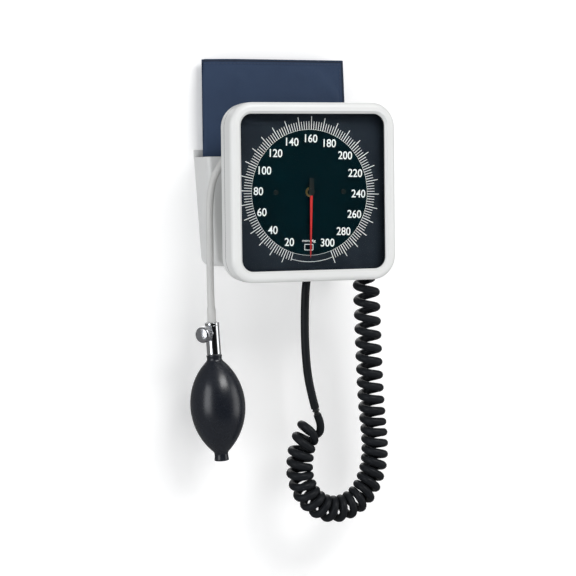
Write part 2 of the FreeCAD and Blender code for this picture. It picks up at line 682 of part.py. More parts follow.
def case_screws():
    back = "bezel_depth + seam + shell_depth"
    screws = []
    for x, z in four_corners("boss_place", "boss_place"):
        head = cylinder("screw_head", "head_height", (x, wall_at(back), z), (0, 1, 0))
        shank = cylinder("screw_radius", "(%s) - screw_reach" % back, (x, wall_at("screw_reach"), z), (0, 1, 0))
        slot = box("2 * screw_head", "slot_width", "slot_width",
                   (x + " - screw_head", wall_at(back + " + head_height - slot_width"),
                    z + " - slot_width / 2"))
        screws.append(cut(fuse(head, shank), slot))
    node(group(screws), "case_screws")


# ---------------------------------------------------------------------------------------------
# Movement
# ---------------------------------------------------------------------------------------------

# X of the sector's axis: the two pitch circles touch on the line of centres.
SECTOR_X = "sqrt((gear_module * (pinion_teeth + sector_teeth) / 2) ^ 2 - sector_drop ^ 2)"


def plate(label, depth, extra_holes=()):
    body = slab(label, "plate_width", "plate_height", "plate_corner", depth + " + plate_thick",
                "plate_thick", "-plate_drop")
    holes = [("0", "0", "jewel_radius"), (SECTOR_X, "-sector_drop", "jewel_radius")]
    bore_holes(body, depth + " + plate_thick", "plate_thick", holes + list(extra_holes))
    return body


def movement_plates():
    screws = [("dial_screw_x", "0", "dial_screw + screw_fit"), ("-dial_screw_x", "0", "dial_screw + screw_fit")]
    plate("movement_front_plate", "front_plate", screws)
    body = plate("movement_rear_plate", "rear_plate")
    window = sketch_on(body, "XZ_Plane", out_at("rear_plate + plate_thick"))
    draw_outline(window, [("slot_left", "slot_low"), ("slot_right", "slot_low"),
                          ("slot_right", "slot_high"), ("slot_left", "slot_high")])
    pocket(body, window, "plate_thick", towards_normal=True)
    lugs = sketch_on(body, "XZ_Plane", out_at("rocker_depth + lug_over"))
    low, high = "-rocker_drop - lug_half", "lug_half - rocker_drop"
    for left, right in (("lug_left", "lug_left + lug_thick"), ("lug_right - lug_thick", "lug_right")):
        draw_outline(lugs, [(left, low), (right, low), (right, high), (left, high)])
    pad(body, lugs, "rocker_depth + lug_over - rear_plate - plate_thick")
    bearing = sketch_on(body, "YZ_Plane", "rocker_left")
    draw_circle(bearing, wall_at("rocker_depth"), "-rocker_drop", "rocker_radius + rocker_fit")
    pocket(body, bearing, "rocker_right - rocker_left", towards_normal=True)


def pillars_and_jewels():
    pillars = []
    for x, z in four_corners("pillar_x", "pillar_z"):
        base = (x, wall_at("front_plate + plate_thick"), z + " - plate_drop")
        pillars.append(cylinder("pillar_radius", "rear_plate - front_plate - plate_thick", base, (0, 1, 0)))
    node(group(pillars), "movement_pillars")
    jewels = []
    for depth in ("front_plate", "rear_plate"):
        for x, z in (("0", "0"), (SECTOR_X, "-sector_drop")):
            ring = cylinder("jewel_radius", "plate_thick", (x, wall_at(depth), z), (0, 1, 0))
            hole = cylinder("jewel_bore", "plate_thick + 2", (x, wall_at(depth + " - 1"), z), (0, 1, 0))
            jewels.append(cut(ring, hole))
    node(group(jewels), "pivot_jewels")


def toothed_edge(pitch_radius, teeth, centres):
    """Corner points round one or more teeth, whose centres are given in radians."""
    pitch = 2 * math.pi / teeth
    flank = [(pitch_radius - size("tooth_foot"), 0.27), (pitch_radius, 0.2),
             (pitch_radius + size("tooth_top"), 0.1)]
    points = []
    for centre in centres:
        points += [(radius, centre - share * pitch) for radius, share in flank]
        points += [(radius, centre + share * pitch) for radius, share in reversed(flank)]
    return points


def standing(outline, centre, depth, thick):
    """Extrude an outline of radius and angle pairs about a centre in the XZ plane."""
    y = size(wall_at(depth))
    corners = [V(centre[0] + r * math.cos(a), y, centre[1] + r * math.sin(a)) for r, a in outline]
    face = Part.Face(Part.makePolygon(corners + corners[:1]))
    return face.extrude(V(0, size(thick), 0))


def along_y(radius, centre, near, far):
    """A round bar along Y between two depths."""
    start, end = size(wall_at(near)), size(wall_at(far))
    return Part.makeCylinder(size(radius), end - start, V(centre[0], start, centre[1]), V(0, 1, 0))


def sector_gear():
    """The sector stands with the tooth at the line of centres near one end of its arc."""
    module, teeth = size("gear_module"), int(size("sector_teeth"))
    centre = (size(SECTOR_X), -size("sector_drop"))
    mesh = math.atan2(-centre[1], -centre[0])
    pitch = 2 * math.pi / teeth
    centres = [mesh + pitch * k for k in range(-11, 2)]
    teeth_points = toothed_edge(module * teeth / 2, teeth, centres)
    fan = [(size("sector_hub") * 0.8, centres[0] - pitch)] + teeth_points
    fan += [(size("sector_hub") * 0.8, centres[-1] + pitch), (0.0, 0.0)]
    solid = standing(fan, centre, "sector_depth", "sector_thick")
    middle = (centres[0] + centres[-1]) / 2
    spread = (centres[-1] - centres[0]) / 2 - 0.13
    window = [(9.5, middle - spread * 0.6), (20.0, middle - spread), (20.6, middle), (20.0, middle + spread),
              (9.5, middle + spread * 0.6)]
    solid = solid.cut(standing(window, centre, "sector_depth", "sector_thick"))
    solid = solid.fuse(along_y("sector_hub", centre, "sector_depth", "sector_depth + sector_thick"))
    solid = solid.fuse(along_y("arbor_radius", centre, "front_plate", "rear_plate + plate_thick"))
    drive = (centre[0] - size("drive_reach"), centre[1] + size("drive_rise"))
    solid = solid.fuse(along_y("drive_radius", drive, "sector_depth", "rear_plate - 0.8"))
    drawn("sector_gear", solid.removeSplitter())


def pointer_arbor():
    """Arbor, pinion and hairspring collet turned from one piece."""
    teeth = int(size("pinion_teeth"))
    pitch = 2 * math.pi / teeth
    towards = math.atan2(-size("sector_drop"), size(SECTOR_X))
    centres = [towards + pitch * (k + 0.5) for k in range(teeth)]
    points = toothed_edge(size("gear_module") * teeth / 2, teeth, centres)
    solid = standing(points, (0, 0), "pinion_depth", "pinion_thick")
    solid = solid.fuse(along_y("arbor_radius", (0, 0), "hub_front + hub_cap", "rear_plate + plate_thick"))
    collet = along_y("collet_radius", (0, 0), "spring_depth", "spring_depth + spring_height")
    drawn("pointer_arbor", solid.fuse(collet).removeSplitter())


def hairspring():
    """A flat spiral of half circles whose centres alternate, four turns."""
    step = size("spring_pitch") / 4
    strip = size("spring_strip")
    y = size(wall_at("spring_depth"))

    def spiral(start):
        edges, radius, side = [], start, 1
        for turn in range(8):
            centre = V(-step * side, y, 0)
            begin = centre + V(radius * side, 0, 0)
            middle = centre + V(0, 0, radius * side)
            finish = centre - V(radius * side, 0, 0)
            edges.append(Part.Arc(begin, middle, finish).toShape())
            radius += 2 * step
            side = -side
        return edges
    inner = spiral(size("spring_inner"))
    outer = spiral(size("spring_inner") + strip)
    ends = [Part.LineSegment(inner[0].Vertexes[0].Point, outer[0].Vertexes[0].Point).toShape(),
            Part.LineSegment(inner[-1].Vertexes[1].Point, outer[-1].Vertexes[1].Point).toShape()]
    outline = Part.Wire(Part.__sortEdges__(inner + outer + ends))
    drawn("hairspring", Part.Face(outline).extrude(V(0, size("spring_height"), 0)))


def rocker():
    """A cross shaft with one arm on the capsule's push pin and one on the sector's drive pin."""
    axis_y, axis_z = wall_at("rocker_depth"), "-rocker_drop"
    shaft = cylinder("rocker_radius", "rocker_right - rocker_left", ("rocker_left", axis_y, axis_z), (1, 0, 0))
    push = box("push_width", "2 * arm_half", "push_arm", ("-push_width / 2", axis_y + " - arm_half", axis_z))
    drive = box("drive_width", "drive_arm", "2 * arm_half",
                ("drive_left", axis_y + " - drive_arm", axis_z + " - arm_half"))
    node(fuse(shaft, push, drive), "rocker_shaft")


def capsule():
    """Two shallow pressed halves joined at the rim, a push pin in front and a stud behind."""
    rim = "capsule_front + capsule_half"
    far = "capsule_front + 2 * capsule_half"

    def half(label, radius, end_radius, near, shift):
        body = cone(radius, end_radius, "capsule_half", ("0", wall_at(near), "0"), (0, 1, 0))
        core = cone(radius + " - 2 * capsule_wall", end_radius + " - 2 * capsule_wall",
                    "capsule_half", ("0", wall_at(near + shift), "0"), (0, 1, 0))
        return node(cut(body, core), label)
    half("capsule_front_half", "capsule_flat", "capsule_radius", "capsule_front", " + capsule_wall")
    half("capsule_rear_half", "capsule_radius", "capsule_flat", rim, " - capsule_wall")
    base = cylinder("push_base", "push_foot", ("0", wall_at("capsule_front - push_foot"), "0"), (0, 1, 0))
    stem = cylinder("push_radius", "capsule_front - push_foot - push_tip - push_taper",
                    ("0", wall_at("push_tip + push_taper"), "0"), (0, 1, 0))
    tip = cone("push_point", "push_radius", "push_taper", ("0", wall_at("push_tip"), "0"), (0, 1, 0))
    node(fuse(base, stem, tip), "capsule_push_pin")
    boss = cylinder("stud_radius + 1", "can_back - shell_back - (%s)" % far, ("0", wall_at(far), "0"), (0, 1, 0))
    stud = cylinder("stud_radius", "can_back + nut_height + 1 - (%s)" % far, ("0", wall_at(far), "0"), (0, 1, 0))
    node(fuse(boss, stud), "capsule_stud")
    nut = doc.addObject("Part::Prism", "Prism")
    nut.Polygon = 6
    nut.setExpression("Circumradius", bound("stud_radius + nut_over"))
    nut.setExpression("Height", bound("nut_height"))
    place(nut, ("0", wall_at("can_back"), "0"), (0, 1, 0))
    hole = cylinder("stud_radius", "nut_height + 2", ("0", wall_at("can_back - 1"), "0"), (0, 1, 0))
    node(cut(nut, hole), "capsule_nut")


def pointer():
    """A tapered blade that points down at zero, and a dark hub with its counterweight."""
    body = new_body("pointer")
    blade = sketch_on(body, "XZ_Plane", out_at("pointer_depth + pointer_thick"))
    root, shoulder = "-hub_radius - 0.02", "pointer_point - pointer_length"
    draw_outline(blade, [("-pointer_root / 2", root), ("-pointer_tip / 2", shoulder), ("0", "-pointer_length"),
                         ("pointer_tip / 2", shoulder), ("pointer_root / 2", root)])
    pad(body, blade, "pointer_thick")
    turned = FreeCAD.Placement(V(), FreeCAD.Rotation(V(0, 1, 0), POINTER_SET))
    body.Placement = turned
    boss = cylinder("hub_radius", "hub_depth", ("0", wall_at("hub_front"), "0"), (0, 1, 0))
    tail = box("tail_width", "pointer_thick", "tail_length",
               ("-tail_width / 2", wall_at("pointer_depth"), "0"))
    bore = cylinder("arbor_radius", "hub_depth", ("0", wall_at("hub_front + hub_cap"), "0"), (0, 1, 0))
    hub = group([cut(fuse(boss, tail), bore)])
    hub.Placement = turned
    node(hub, "pointer_hub")


def gauge_port():
    """An elbow through the back of the case, with a barb that points down into the coiled hose."""
    back = "bezel_depth + seam + shell_depth"
    inside = "(%s) - shell_back - port_inside" % back
    spigot = cylinder("port_neck", "port_depth - (%s)" % inside,
                      ("port_x", wall_at(inside), "port_z"), (0, 1, 0))
    body = cylinder("port_radius", "port_depth - (%s)" % back, ("port_x", wall_at(back), "port_z"), (0, 1, 0))
    corner = ball("port_radius", ("port_x", wall_at("port_depth"), "port_z"))
    collar = cylinder("port_radius", "port_z - lead_top", ("port_x", wall_at("port_depth"), "lead_top"))
    barb = cylinder("coil_tube_d / 2 - barb_inset", "barb_length",
                    ("port_x", wall_at("port_depth"), "lead_top - barb_length"))
    node(fuse(spigot, body, corner, collar, barb), "gauge_port")
    x, z = size("port_x"), size("port_z")
    start, entry = size(wall_at(inside)), size(wall_at("capsule_front + 2 * capsule_half + 1"))
    points = [(x, start, z), (x, start - 4.0, z), (x - 7, start - 5.0, z + 4), (40.0, start - 3.5, -42.0),
              (17.0, start - 1.5, -28.0), (9.0, start + 0.3, -24.4), (6.0, start + 5.0, -24.6),
              (5.0, start + 10.5, -24.4), (4.0, entry - 0.3, -21.5), (2.5, entry, -14.0), (0.8, entry, -4.2)]
    hose("capsule_tube", points, 1.6)


# ---------------------------------------------------------------------------------------------
# Mounting hub and basket
# ---------------------------------------------------------------------------------------------

def mounting_hub():
    body = new_body("mounting_hub")
    disc = sketch_on(body, "XZ_Plane", "basket_depth")
    draw_circle(disc, "0", "0", "hub_mount")
    pad(body, disc, "reach - can_back - basket_depth")
    places = hub_places()
    holes = [("0", "0", "hub_bore")] + [(x, z, "hub_screw_hole") for x, z in places]
    bore_holes(body, "reach - basket_depth", "reach - can_back - basket_depth", holes)
    screws = []
    for x, z in places:
        head = cylinder("hub_head", "hub_head_height", (x, "basket_wall - basket_depth", z), (0, 1, 0))
        shank = cylinder("hub_screw", "reach - basket_depth - can_back + basket_wall + shell_back - 0.5",
                         (x, wall_at("can_back - shell_back + 0.5"), z), (0, 1, 0))
        screws.append(fuse(head, shank))
    node(group(screws), "hub_screws")


def wall_basket():
    """A tapered open-topped tray with a higher back plate, screwed to the wall."""
    body = new_body("wall_basket")
    slope = "(basket_wide - basket_narrow) / (basket_top + basket_base)"
    top = "basket_wide + (basket_back - basket_top) * " + slope
    outline = sketch_on(body, "XZ_Plane")
    draw_outline(outline, [("-(%s)" % top, "basket_back"), ("-basket_narrow", "-basket_base"),
                           ("basket_narrow", "-basket_base"), (top, "basket_back")])
    block = pad(body, outline, "basket_depth")
    low = -size("basket_base")

    def foot_corner(edge):
        ends = edge.BoundBox
        return ends.YLength > 10 and abs(ends.ZMin - low) < 0.01
    rounded = dress(body, "Fillet", block, foot_corner, "basket_round")
    front = -size("basket_depth")

    def front_edge(edge):
        return abs(edge.BoundBox.YMax - front) < 0.01 and edge.CenterOfMass.z < size("basket_back") - 1
    dress(body, "Fillet", rounded, front_edge, "basket_edge")
    cavity = sketch_on(body, "XZ_Plane", "basket_wall")
    side, knee = "basket_narrow - basket_wall", "basket_wall + inner_knee - basket_base"
    right = [(side + " - inner_corner", "basket_wall - basket_base"), (side + " - inner_knee", knee),
             (side, "basket_wall + inner_corner - basket_base"), (top + " - basket_wall", "basket_back + 1")]
    left = [("-(%s)" % x, z) for x, z in reversed(right)]
    draw_outline(cavity, left + right)
    pocket(body, cavity, "basket_depth - 2 * basket_wall", towards_normal=True)
    step = sketch_on(body, "XZ_Plane", "basket_wall")
    draw_outline(step, [("-basket_wide - 5", "basket_top"), ("basket_wide + 5", "basket_top"),
                        ("basket_wide + 5", "basket_back + 5"), ("-basket_wide - 5", "basket_back + 5")])
    pocket(body, step, "basket_depth", towards_normal=True)
    places = four_corners("wall_hole_x", "wall_hole_z")
    bore_holes(body, "reach", "basket_wall + 1", [(x, z, "wall_hole") for x, z in places])
    front_holes = [(x, z, "driver_hole") for x, z in places]
    front_holes += [(x, z, "hub_screw_hole") for x, z in hub_places()]
    bore_holes(body, "reach - basket_depth + basket_wall + 1", "basket_wall + 3", front_holes)


# ---------------------------------------------------------------------------------------------
# Cuff
# ---------------------------------------------------------------------------------------------

def cuff():
    """The cuff folded in three, with the bladder in its front layer."""
    body = new_body("cuff_cover")
    face = sketch_on(body, "XZ_Plane", "-cuff_front - cuff_thick")
    draw_outline(face, [("cuff_left", "cuff_top"), ("cuff_left", "cuff_bend"),
                        ("cuff_left + cuff_draw", "cuff_foot + cuff_knee"), ("cuff_left + cuff_tuck", "cuff_foot"),
                        ("cuff_right", "cuff_foot"), ("cuff_right", "cuff_top")])
    block = pad(body, face, "cuff_thick")
    dress(body, "Fillet", block, lambda e: abs(e.CenterOfMass.z - size("cuff_top")) < 0.01, "cuff_round")
    middle = "(cuff_left + cuff_right) / 2"
    room = sketch_on(body, "XZ_Plane", "-cuff_front - bladder_cover - bladder_thick - bladder_gap")
    left, right = middle + " - bladder_wide / 2 - bladder_gap", middle + " + bladder_wide / 2 + bladder_gap"
    low, high = "cuff_foot + bladder_foot", "cuff_foot + bladder_foot + bladder_tall + 2 * bladder_gap"
    draw_outline(room, [(left, low), (right, low), (right, high), (left, high)])
    pocket(body, room, "bladder_thick + bladder_gap", towards_normal=True)
    node(box("bladder_wide", "bladder_thick - bladder_gap", "bladder_tall",
             (middle + " - bladder_wide / 2", "cuff_front + bladder_cover + bladder_gap",
              "cuff_foot + bladder_foot + bladder_gap")), "cuff_bladder")
    node(box("patch_wide", "patch_thick", "patch_tall",
             (middle + " - patch_wide / 2", "cuff_front + cuff_thick", "cuff_top - patch_drop")), "hook_patch")


def cuff_port(label, route, hose_d, barbed):
    """A moulded collar on the cuff's face, with a barb inside the start of the hose."""
    start = V(*route[0])
    along = (V(*route[1]) - start).normalize()
    length, front, thick = size("collar_length"), size("cuff_front"), size("flange_thick")
    foot, mouth = hose_d / 2 + size("collar_foot"), hose_d / 2 + size("collar_lip")
    collar = Part.makeCone(foot, mouth, length, start - along * length, along)
    keep = Part.makeBox(FAR, FAR, FAR, V(start.x - FAR / 2, front - FAR, start.z - FAR / 2))
    middle = V(start.x, front - thick, start.z + size("flange_rise"))
    flange = Part.makeCylinder(hose_d / 2 + size("flange_over"), thick, middle, V(0, 1, 0))
    solid = collar.common(keep).fuse(flange)
    if barbed:
        barb = Part.makeCylinder(hose_d / 2 - size("barb_inset"), size("barb_length"), start, along)
        solid = solid.fuse(barb)
    drawn(label, solid.removeSplitter())


# ---------------------------------------------------------------------------------------------
# Hoses and their connector
# ---------------------------------------------------------------------------------------------

def hoses():
    cuff_port("cuff_port_bulb", GREY_ROUTE, size("grey_hose_d"), True)
    cuff_port("cuff_port_gauge", BLACK_ROUTE, size("black_hose_d"), False)
    hose("bulb_hose", GREY_ROUTE, size("grey_hose_d"))
    hose("cuff_hose", BLACK_ROUTE, size("black_hose_d"))
    hose("coiled_hose", COIL_ROUTE, size("coil_outer_d"))
    node(cylinder("coil_tube_d / 2", "lead_top - coil_top", ("port_x", wall_at("port_depth"), "coil_top")),
         "coil_lead")


def hose_connector():
    """Two small fittings that push together between the cuff's hose and the coiled hose."""
    start = V(*BLACK_ROUTE[-1])
    tilt = math.radians(JOINER_TILT)
    along = V(math.sin(tilt), 0, -math.cos(tilt))
    length = size("joiner_length")
    beyond = Part.makeCylinder(FAR / 2, FAR, start, start - V(*BLACK_ROUTE[-2]))
    collar = Part.makeCylinder(size("joiner_collar"), length / 2 + 1, start - along, along).common(beyond)
    neck = Part.makeCylinder(size("joiner_neck"), length / 4, start + along * (length / 2), along)
    tab_start = start + along * (length * 0.3)
    tab = Part.makeCylinder(size("joiner_tab"), size("joiner_tab_thick"), tab_start, along)
    drawn("connector_socket", collar.fuse([neck, tab]).removeSplitter())
    end = start + along * length
    lip = Part.makeCylinder(size("joiner_lip"), length / 4, end - along * (length / 4), along)
    barb = Part.makeCylinder(size("joiner_barb"), size("joiner_reach"), end, along)
    drawn("connector_plug", lip.fuse(barb).removeSplitter())
    run = TAIL_END - end
    print("coil_tail: length %.1f" % run.Length)
    spare = size("coil_tube_d") / 2
    tail = Part.makeCylinder(spare, run.Length + 2 * spare, end - run.normalize() * spare, TAIL_END - end)
    above = Part.makeBox(FAR, FAR, FAR, V(TAIL_END.x - FAR / 2, TAIL_END.y - FAR / 2, TAIL_END.z))
    below = Part.makeCylinder(FAR / 2, FAR, end, along)
    drawn("coil_tail", tail.common(above).common(below).removeSplitter())


# ---------------------------------------------------------------------------------------------
# Valve and bulb, built about their own axis and then placed
# ---------------------------------------------------------------------------------------------

def hang(thing, label):
    """Finish a piece of the bulb assembly: it hangs from the end of the bulb hose."""
    thing = group([thing])
    thing.Placement = FreeCAD.Placement(VALVE_TOP, FreeCAD.Rotation(V(0, 1, 0), -VALVE_TILT))
    return node(thing, label)


def knob_direction():
    angle = math.radians(KNOB_AZIMUTH)
    return V(math.cos(angle), math.sin(angle), 0)


def valve():
    aim = knob_direction()
    axis = (aim.x, aim.y, 0)

    def out(distance):
        return ("(%s) * %.6f" % (distance, aim.x), "(%s) * %.6f" % (distance, aim.y), "knob_height")
    shell = cylinder("valve_radius", "valve_length - 2 * valve_edge", ("0", "0", "valve_edge - valve_length"))
    top = cone("valve_radius", "valve_radius - valve_edge", "valve_edge", ("0", "0", "-valve_edge"))
    bottom = cone("valve_radius - valve_edge", "valve_radius", "valve_edge", ("0", "0", "-valve_length"))
    barb = cylinder("grey_hose_d / 2 - barb_inset + 0.5", "barb_length", ("0", "0", "0"))
    spigot = cylinder("valve_spigot", "spigot_length", ("0", "0", "-valve_length - spigot_length"))
    boss = cylinder("knob_boss", "knob_near - knob_gap", out("0"), axis)
    air = cylinder("air_bore", "valve_length + spigot_length + barb_length + 2",
                   ("0", "0", "-valve_length - spigot_length - 1"))
    stem_bore = cylinder("stem_radius + rocker_fit", "knob_near + 1", out("stem_start - knob_gap"), axis)
    chamber = cylinder("check_bore", "check_room", ("0", "0", "-valve_length - spigot_length"))
    hang(cut(fuse(shell, top, bottom, barb, spigot, boss), air, stem_bore, chamber), "valve_body")
    stem = cylinder("stem_radius", "knob_far - stem_cover - stem_start - stem_taper",
                    out("stem_start + stem_taper"), axis)
    point = cone("stem_point", "stem_radius", "stem_taper", out("stem_start"), axis)
    hang(fuse(stem, point), "valve_stem")
    disc = cylinder("knob_radius", "knob_far - knob_near - knob_dome", out("knob_near"), axis)
    dome = cone("knob_radius", "knob_radius - knob_slope", "knob_dome", out("knob_far - knob_dome"), axis)
    hole = cylinder("stem_radius + rocker_fit", "knob_far - stem_cover + 0.1 - knob_near + 1",
                    out("knob_near - 1"), axis)
    grooves = knurl_grooves(aim)
    hang(cut(fuse(disc, dome), hole, *grooves), "valve_thumbscrew")


def knurl_grooves(aim):
    """Round-bottomed grooves along the rim of the thumbscrew's knob."""
    side = V(-aim.y, aim.x, 0)
    grooves = []
    count = int(size("knurl_count"))
    reach = size("knob_radius + knurl_out")
    for k in range(count):
        angle = 2 * math.pi * k / count
        rim = side * (reach * math.cos(angle)) + V(0, 0, reach * math.sin(angle)) + aim * (size("knob_near") - 0.5)
        base = ("%.5f" % rim.x, "%.5f" % rim.y, "knob_height + %.5f" % rim.z)
        grooves.append(cylinder("knurl_radius", "knob_far - knob_near + 1", base, (aim.x, aim.y, 0)))
    return grooves


def outlet_check():
    """The seat pressed into the valve's spigot and the disc that lifts off it."""
    foot = "-valve_length - spigot_length"
    ring = cylinder("check_bore", "seat_thick", ("0", "0", foot))
    hole = cylinder("inlet_hole", "seat_thick + 2", ("0", "0", foot + " - 1"))
    hang(cut(ring, hole), "outlet_seat")
    disc = cylinder("disc_radius", "disc_thick", ("0", "0", foot + " + seat_thick + rest_gap"))
    hang(disc, "outlet_disc")


def bulb():
    """A hollow rubber bulb: two arcs that meet at the widest point, and two necks."""
    body = new_body("bulb")
    sketch = sketch_on(body, "XZ_Plane")
    top = -size("valve_length")
    wide_z = top - size("bulb_wide_at")
    wall = size("bulb_wall")

    def arc_radius(neck_r, neck_z, wide_r):
        rise = abs(neck_z - wide_z)
        step = wide_r - neck_r
        return (rise ** 2 + step ** 2) / (2 * step)
    outer = [(size("bulb_neck"), top), (size("bulb_neck"), top - size("neck_length"))]
    lower_z = top - size("bulb_length") + size("foot_length")
    foot_z = top - size("bulb_length")
    wide = size("bulb_radius")
    upper_arc = arc_radius(outer[1][0], outer[1][1], wide)
    lower_arc = arc_radius(size("bulb_foot"), lower_z, wide)

    def on_arc(radius, reach, z):
        return reach - radius + math.sqrt(radius ** 2 - (z - wide_z) ** 2)
    spigot, foot = size("valve_spigot"), size("foot_bore")
    inner_top = wide_z + math.sqrt((upper_arc - wall) ** 2 - (upper_arc - wide + spigot) ** 2)
    inner_low = wide_z - math.sqrt((lower_arc - wall) ** 2 - (lower_arc - wide + foot) ** 2)
    half_up, half_down = (outer[1][1] + wide_z) / 2, (lower_z + wide_z) / 2
    in_up, in_down = (inner_top + wide_z) / 2, (inner_low + wide_z) / 2

    def line(a, b):
        sketch.addGeometry(Part.LineSegment(V(a[0], a[1], 0), V(b[0], b[1], 0)))

    def arc(a, middle, b):
        sketch.addGeometry(Part.Arc(V(a[0], a[1], 0), V(middle[0], middle[1], 0), V(b[0], b[1], 0)))
    line(outer[0], outer[1])
    arc(outer[1], (on_arc(upper_arc, wide, half_up), half_up), (wide, wide_z))
    arc((wide, wide_z), (on_arc(lower_arc, wide, half_down), half_down), (size("bulb_foot"), lower_z))
    line((size("bulb_foot"), lower_z), (size("bulb_foot"), foot_z))
    line((size("bulb_foot"), foot_z), (foot, foot_z))
    line((foot, foot_z), (foot, inner_low))
    arc((foot, inner_low), (on_arc(lower_arc - wall, wide - wall, in_down), in_down), (wide - wall, wide_z))
    arc((wide - wall, wide_z), (on_arc(upper_arc - wall, wide - wall, in_up), in_up), (spigot, inner_top))
    line((spigot, inner_top), (spigot, top))
    line((spigot, top), outer[0])
    count = sketch.GeometryCount
    for i in range(count):
        sketch.addConstraint(Sketcher.Constraint("Block", i))
    revolve(body, sketch)
    body.Placement = FreeCAD.Placement(VALVE_TOP, FreeCAD.Rotation(V(0, 1, 0), -VALVE_TILT))


def bulb_inlet():
    """The insert in the bulb's lower neck, with a ball that closes its hole."""
    foot = "-valve_length - bulb_length"
    insert = cylinder("foot_bore", "inlet_length", ("0", "0", foot))
    hole = cylinder("inlet_hole", "inlet_length + 2", ("0", "0", foot + " - 1"))
    chamber = cylinder("check_bore", "inlet_room", ("0", "0", foot + " + inlet_floor"))
    hang(cut(insert, hole, chamber), "bulb_inlet")
    rest = "%s + inlet_floor + sqrt(ball_radius ^ 2 - inlet_hole ^ 2) + rest_gap" % foot
    hang(ball("ball_radius", ("0", "0", rest)), "inlet_ball")


# ---------------------------------------------------------------------------------------------
# Build, check and write
# ---------------------------------------------------------------------------------------------

def build():
    front_bezel()
    window_stack()
    dial()
    rear_shell()
    case_screws()
    movement_plates()
    pillars_and_jewels()
    sector_gear()
    pointer_arbor()
    hairspring()
    rocker()
    capsule()
    pointer()
    gauge_port()
    mounting_hub()
    wall_basket()
    cuff()
    hoses()
    hose_connector()
    valve()
    outlet_check()
    bulb()
    bulb_inlet()
    doc.recompute()


def check():
    for thing in doc.Objects:
        if "Invalid" in thing.State or "Error" in thing.State:
            raise RuntimeError("%s (%s) failed: %s" % (thing.Name, thing.Label, thing.State))
    for thing in NODES:
        if thing.Shape.isNull() or not thing.Shape.isValid():
            raise RuntimeError("%s has no valid shape" % thing.Label)
        if not thing.Shape.Solids:
            raise RuntimeError("%s has no solid" % thing.Label)


def write():
    os.makedirs("parts", exist_ok=True)
    for thing in NODES:
        thing.Shape.exportStep(os.path.join("parts", thing.Label + ".step"))
    print("%d nodes written" % len(NODES))


build()
check()
write()
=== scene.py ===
import math

import bmesh
import bpy
import numpy as np
from mathutils import Matrix, Vector, noise


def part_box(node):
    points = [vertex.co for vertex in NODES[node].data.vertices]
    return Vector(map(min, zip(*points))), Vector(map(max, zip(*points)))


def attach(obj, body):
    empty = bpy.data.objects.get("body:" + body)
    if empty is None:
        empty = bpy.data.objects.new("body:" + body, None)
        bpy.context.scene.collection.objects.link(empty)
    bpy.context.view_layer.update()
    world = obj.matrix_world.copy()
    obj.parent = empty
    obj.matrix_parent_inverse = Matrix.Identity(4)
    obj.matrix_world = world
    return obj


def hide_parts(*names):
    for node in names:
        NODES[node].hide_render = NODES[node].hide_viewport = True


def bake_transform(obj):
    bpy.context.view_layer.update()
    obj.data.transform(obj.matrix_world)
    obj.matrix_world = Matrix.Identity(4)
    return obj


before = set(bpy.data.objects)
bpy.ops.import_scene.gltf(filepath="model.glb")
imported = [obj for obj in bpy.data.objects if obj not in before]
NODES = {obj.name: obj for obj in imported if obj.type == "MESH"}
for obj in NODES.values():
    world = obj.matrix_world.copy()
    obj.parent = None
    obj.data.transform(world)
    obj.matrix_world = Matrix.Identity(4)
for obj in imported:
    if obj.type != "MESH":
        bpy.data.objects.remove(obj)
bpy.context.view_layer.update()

MM = 0.001


# ---- Camera and studio ----

SENSOR_WIDTH, FOCAL_LENGTH = 36.0, 128.8
CAMERA_PLACE = (-0.7515, -1.8451, 0.010)
YAW, PITCH_DOWN, ROLL = math.radians(22.51), math.radians(2.959), math.radians(-0.68)
LAMP_TARGET = Vector((0, -0.05, -0.08))
WALL_Y, FLOOR_Z = 0.0005, -0.5
ROOM_HALF, WALL_TOP = 4.0, 2.5


def add_camera():
    """A long lens, a little to the left of the gauge, looking slightly down and rolled."""
    data = bpy.data.cameras.new("camera")
    data.sensor_width = SENSOR_WIDTH
    data.lens = FOCAL_LENGTH
    camera = bpy.data.objects.new("camera", data)
    bpy.context.scene.collection.objects.link(camera)
    turn = (Matrix.Rotation(-YAW, 4, "Z") @ Matrix.Rotation(math.pi / 2 - PITCH_DOWN, 4, "X")
            @ Matrix.Rotation(ROLL, 4, "Z"))
    camera.matrix_world = Matrix.Translation(CAMERA_PLACE) @ turn
    bpy.context.scene.camera = camera


def add_area(name, direction, distance, size, power, color=(1, 1, 1)):
    """A rectangular lamp that looks at the object from a direction."""
    data = bpy.data.lights.new(name, "AREA")
    data.shape = "RECTANGLE"
    data.size, data.size_y = size
    data.energy = power
    data.color = color
    lamp = bpy.data.objects.new(name, data)
    bpy.context.scene.collection.objects.link(lamp)
    aim = Vector(direction).normalized()
    lamp.location = LAMP_TARGET + aim * distance
    lamp.rotation_mode = "QUATERNION"
    lamp.rotation_quaternion = aim.to_track_quat("Z", "Y")
    return lamp


def upright(half_width, y, low, high):
    """Corners of an upright rectangle that faces the front."""
    return [(-half_width, y, low), (half_width, y, low), (half_width, y, high), (-half_width, y, high)]


def add_plane(name, corners, material):
    mesh = bpy.data.meshes.new(name)
    mesh.from_pydata(corners, [], [(0, 1, 2, 3)])
    plane = bpy.data.objects.new(name, mesh)
    bpy.context.scene.collection.objects.link(plane)
    plane.data.materials.append(material)
    return plane


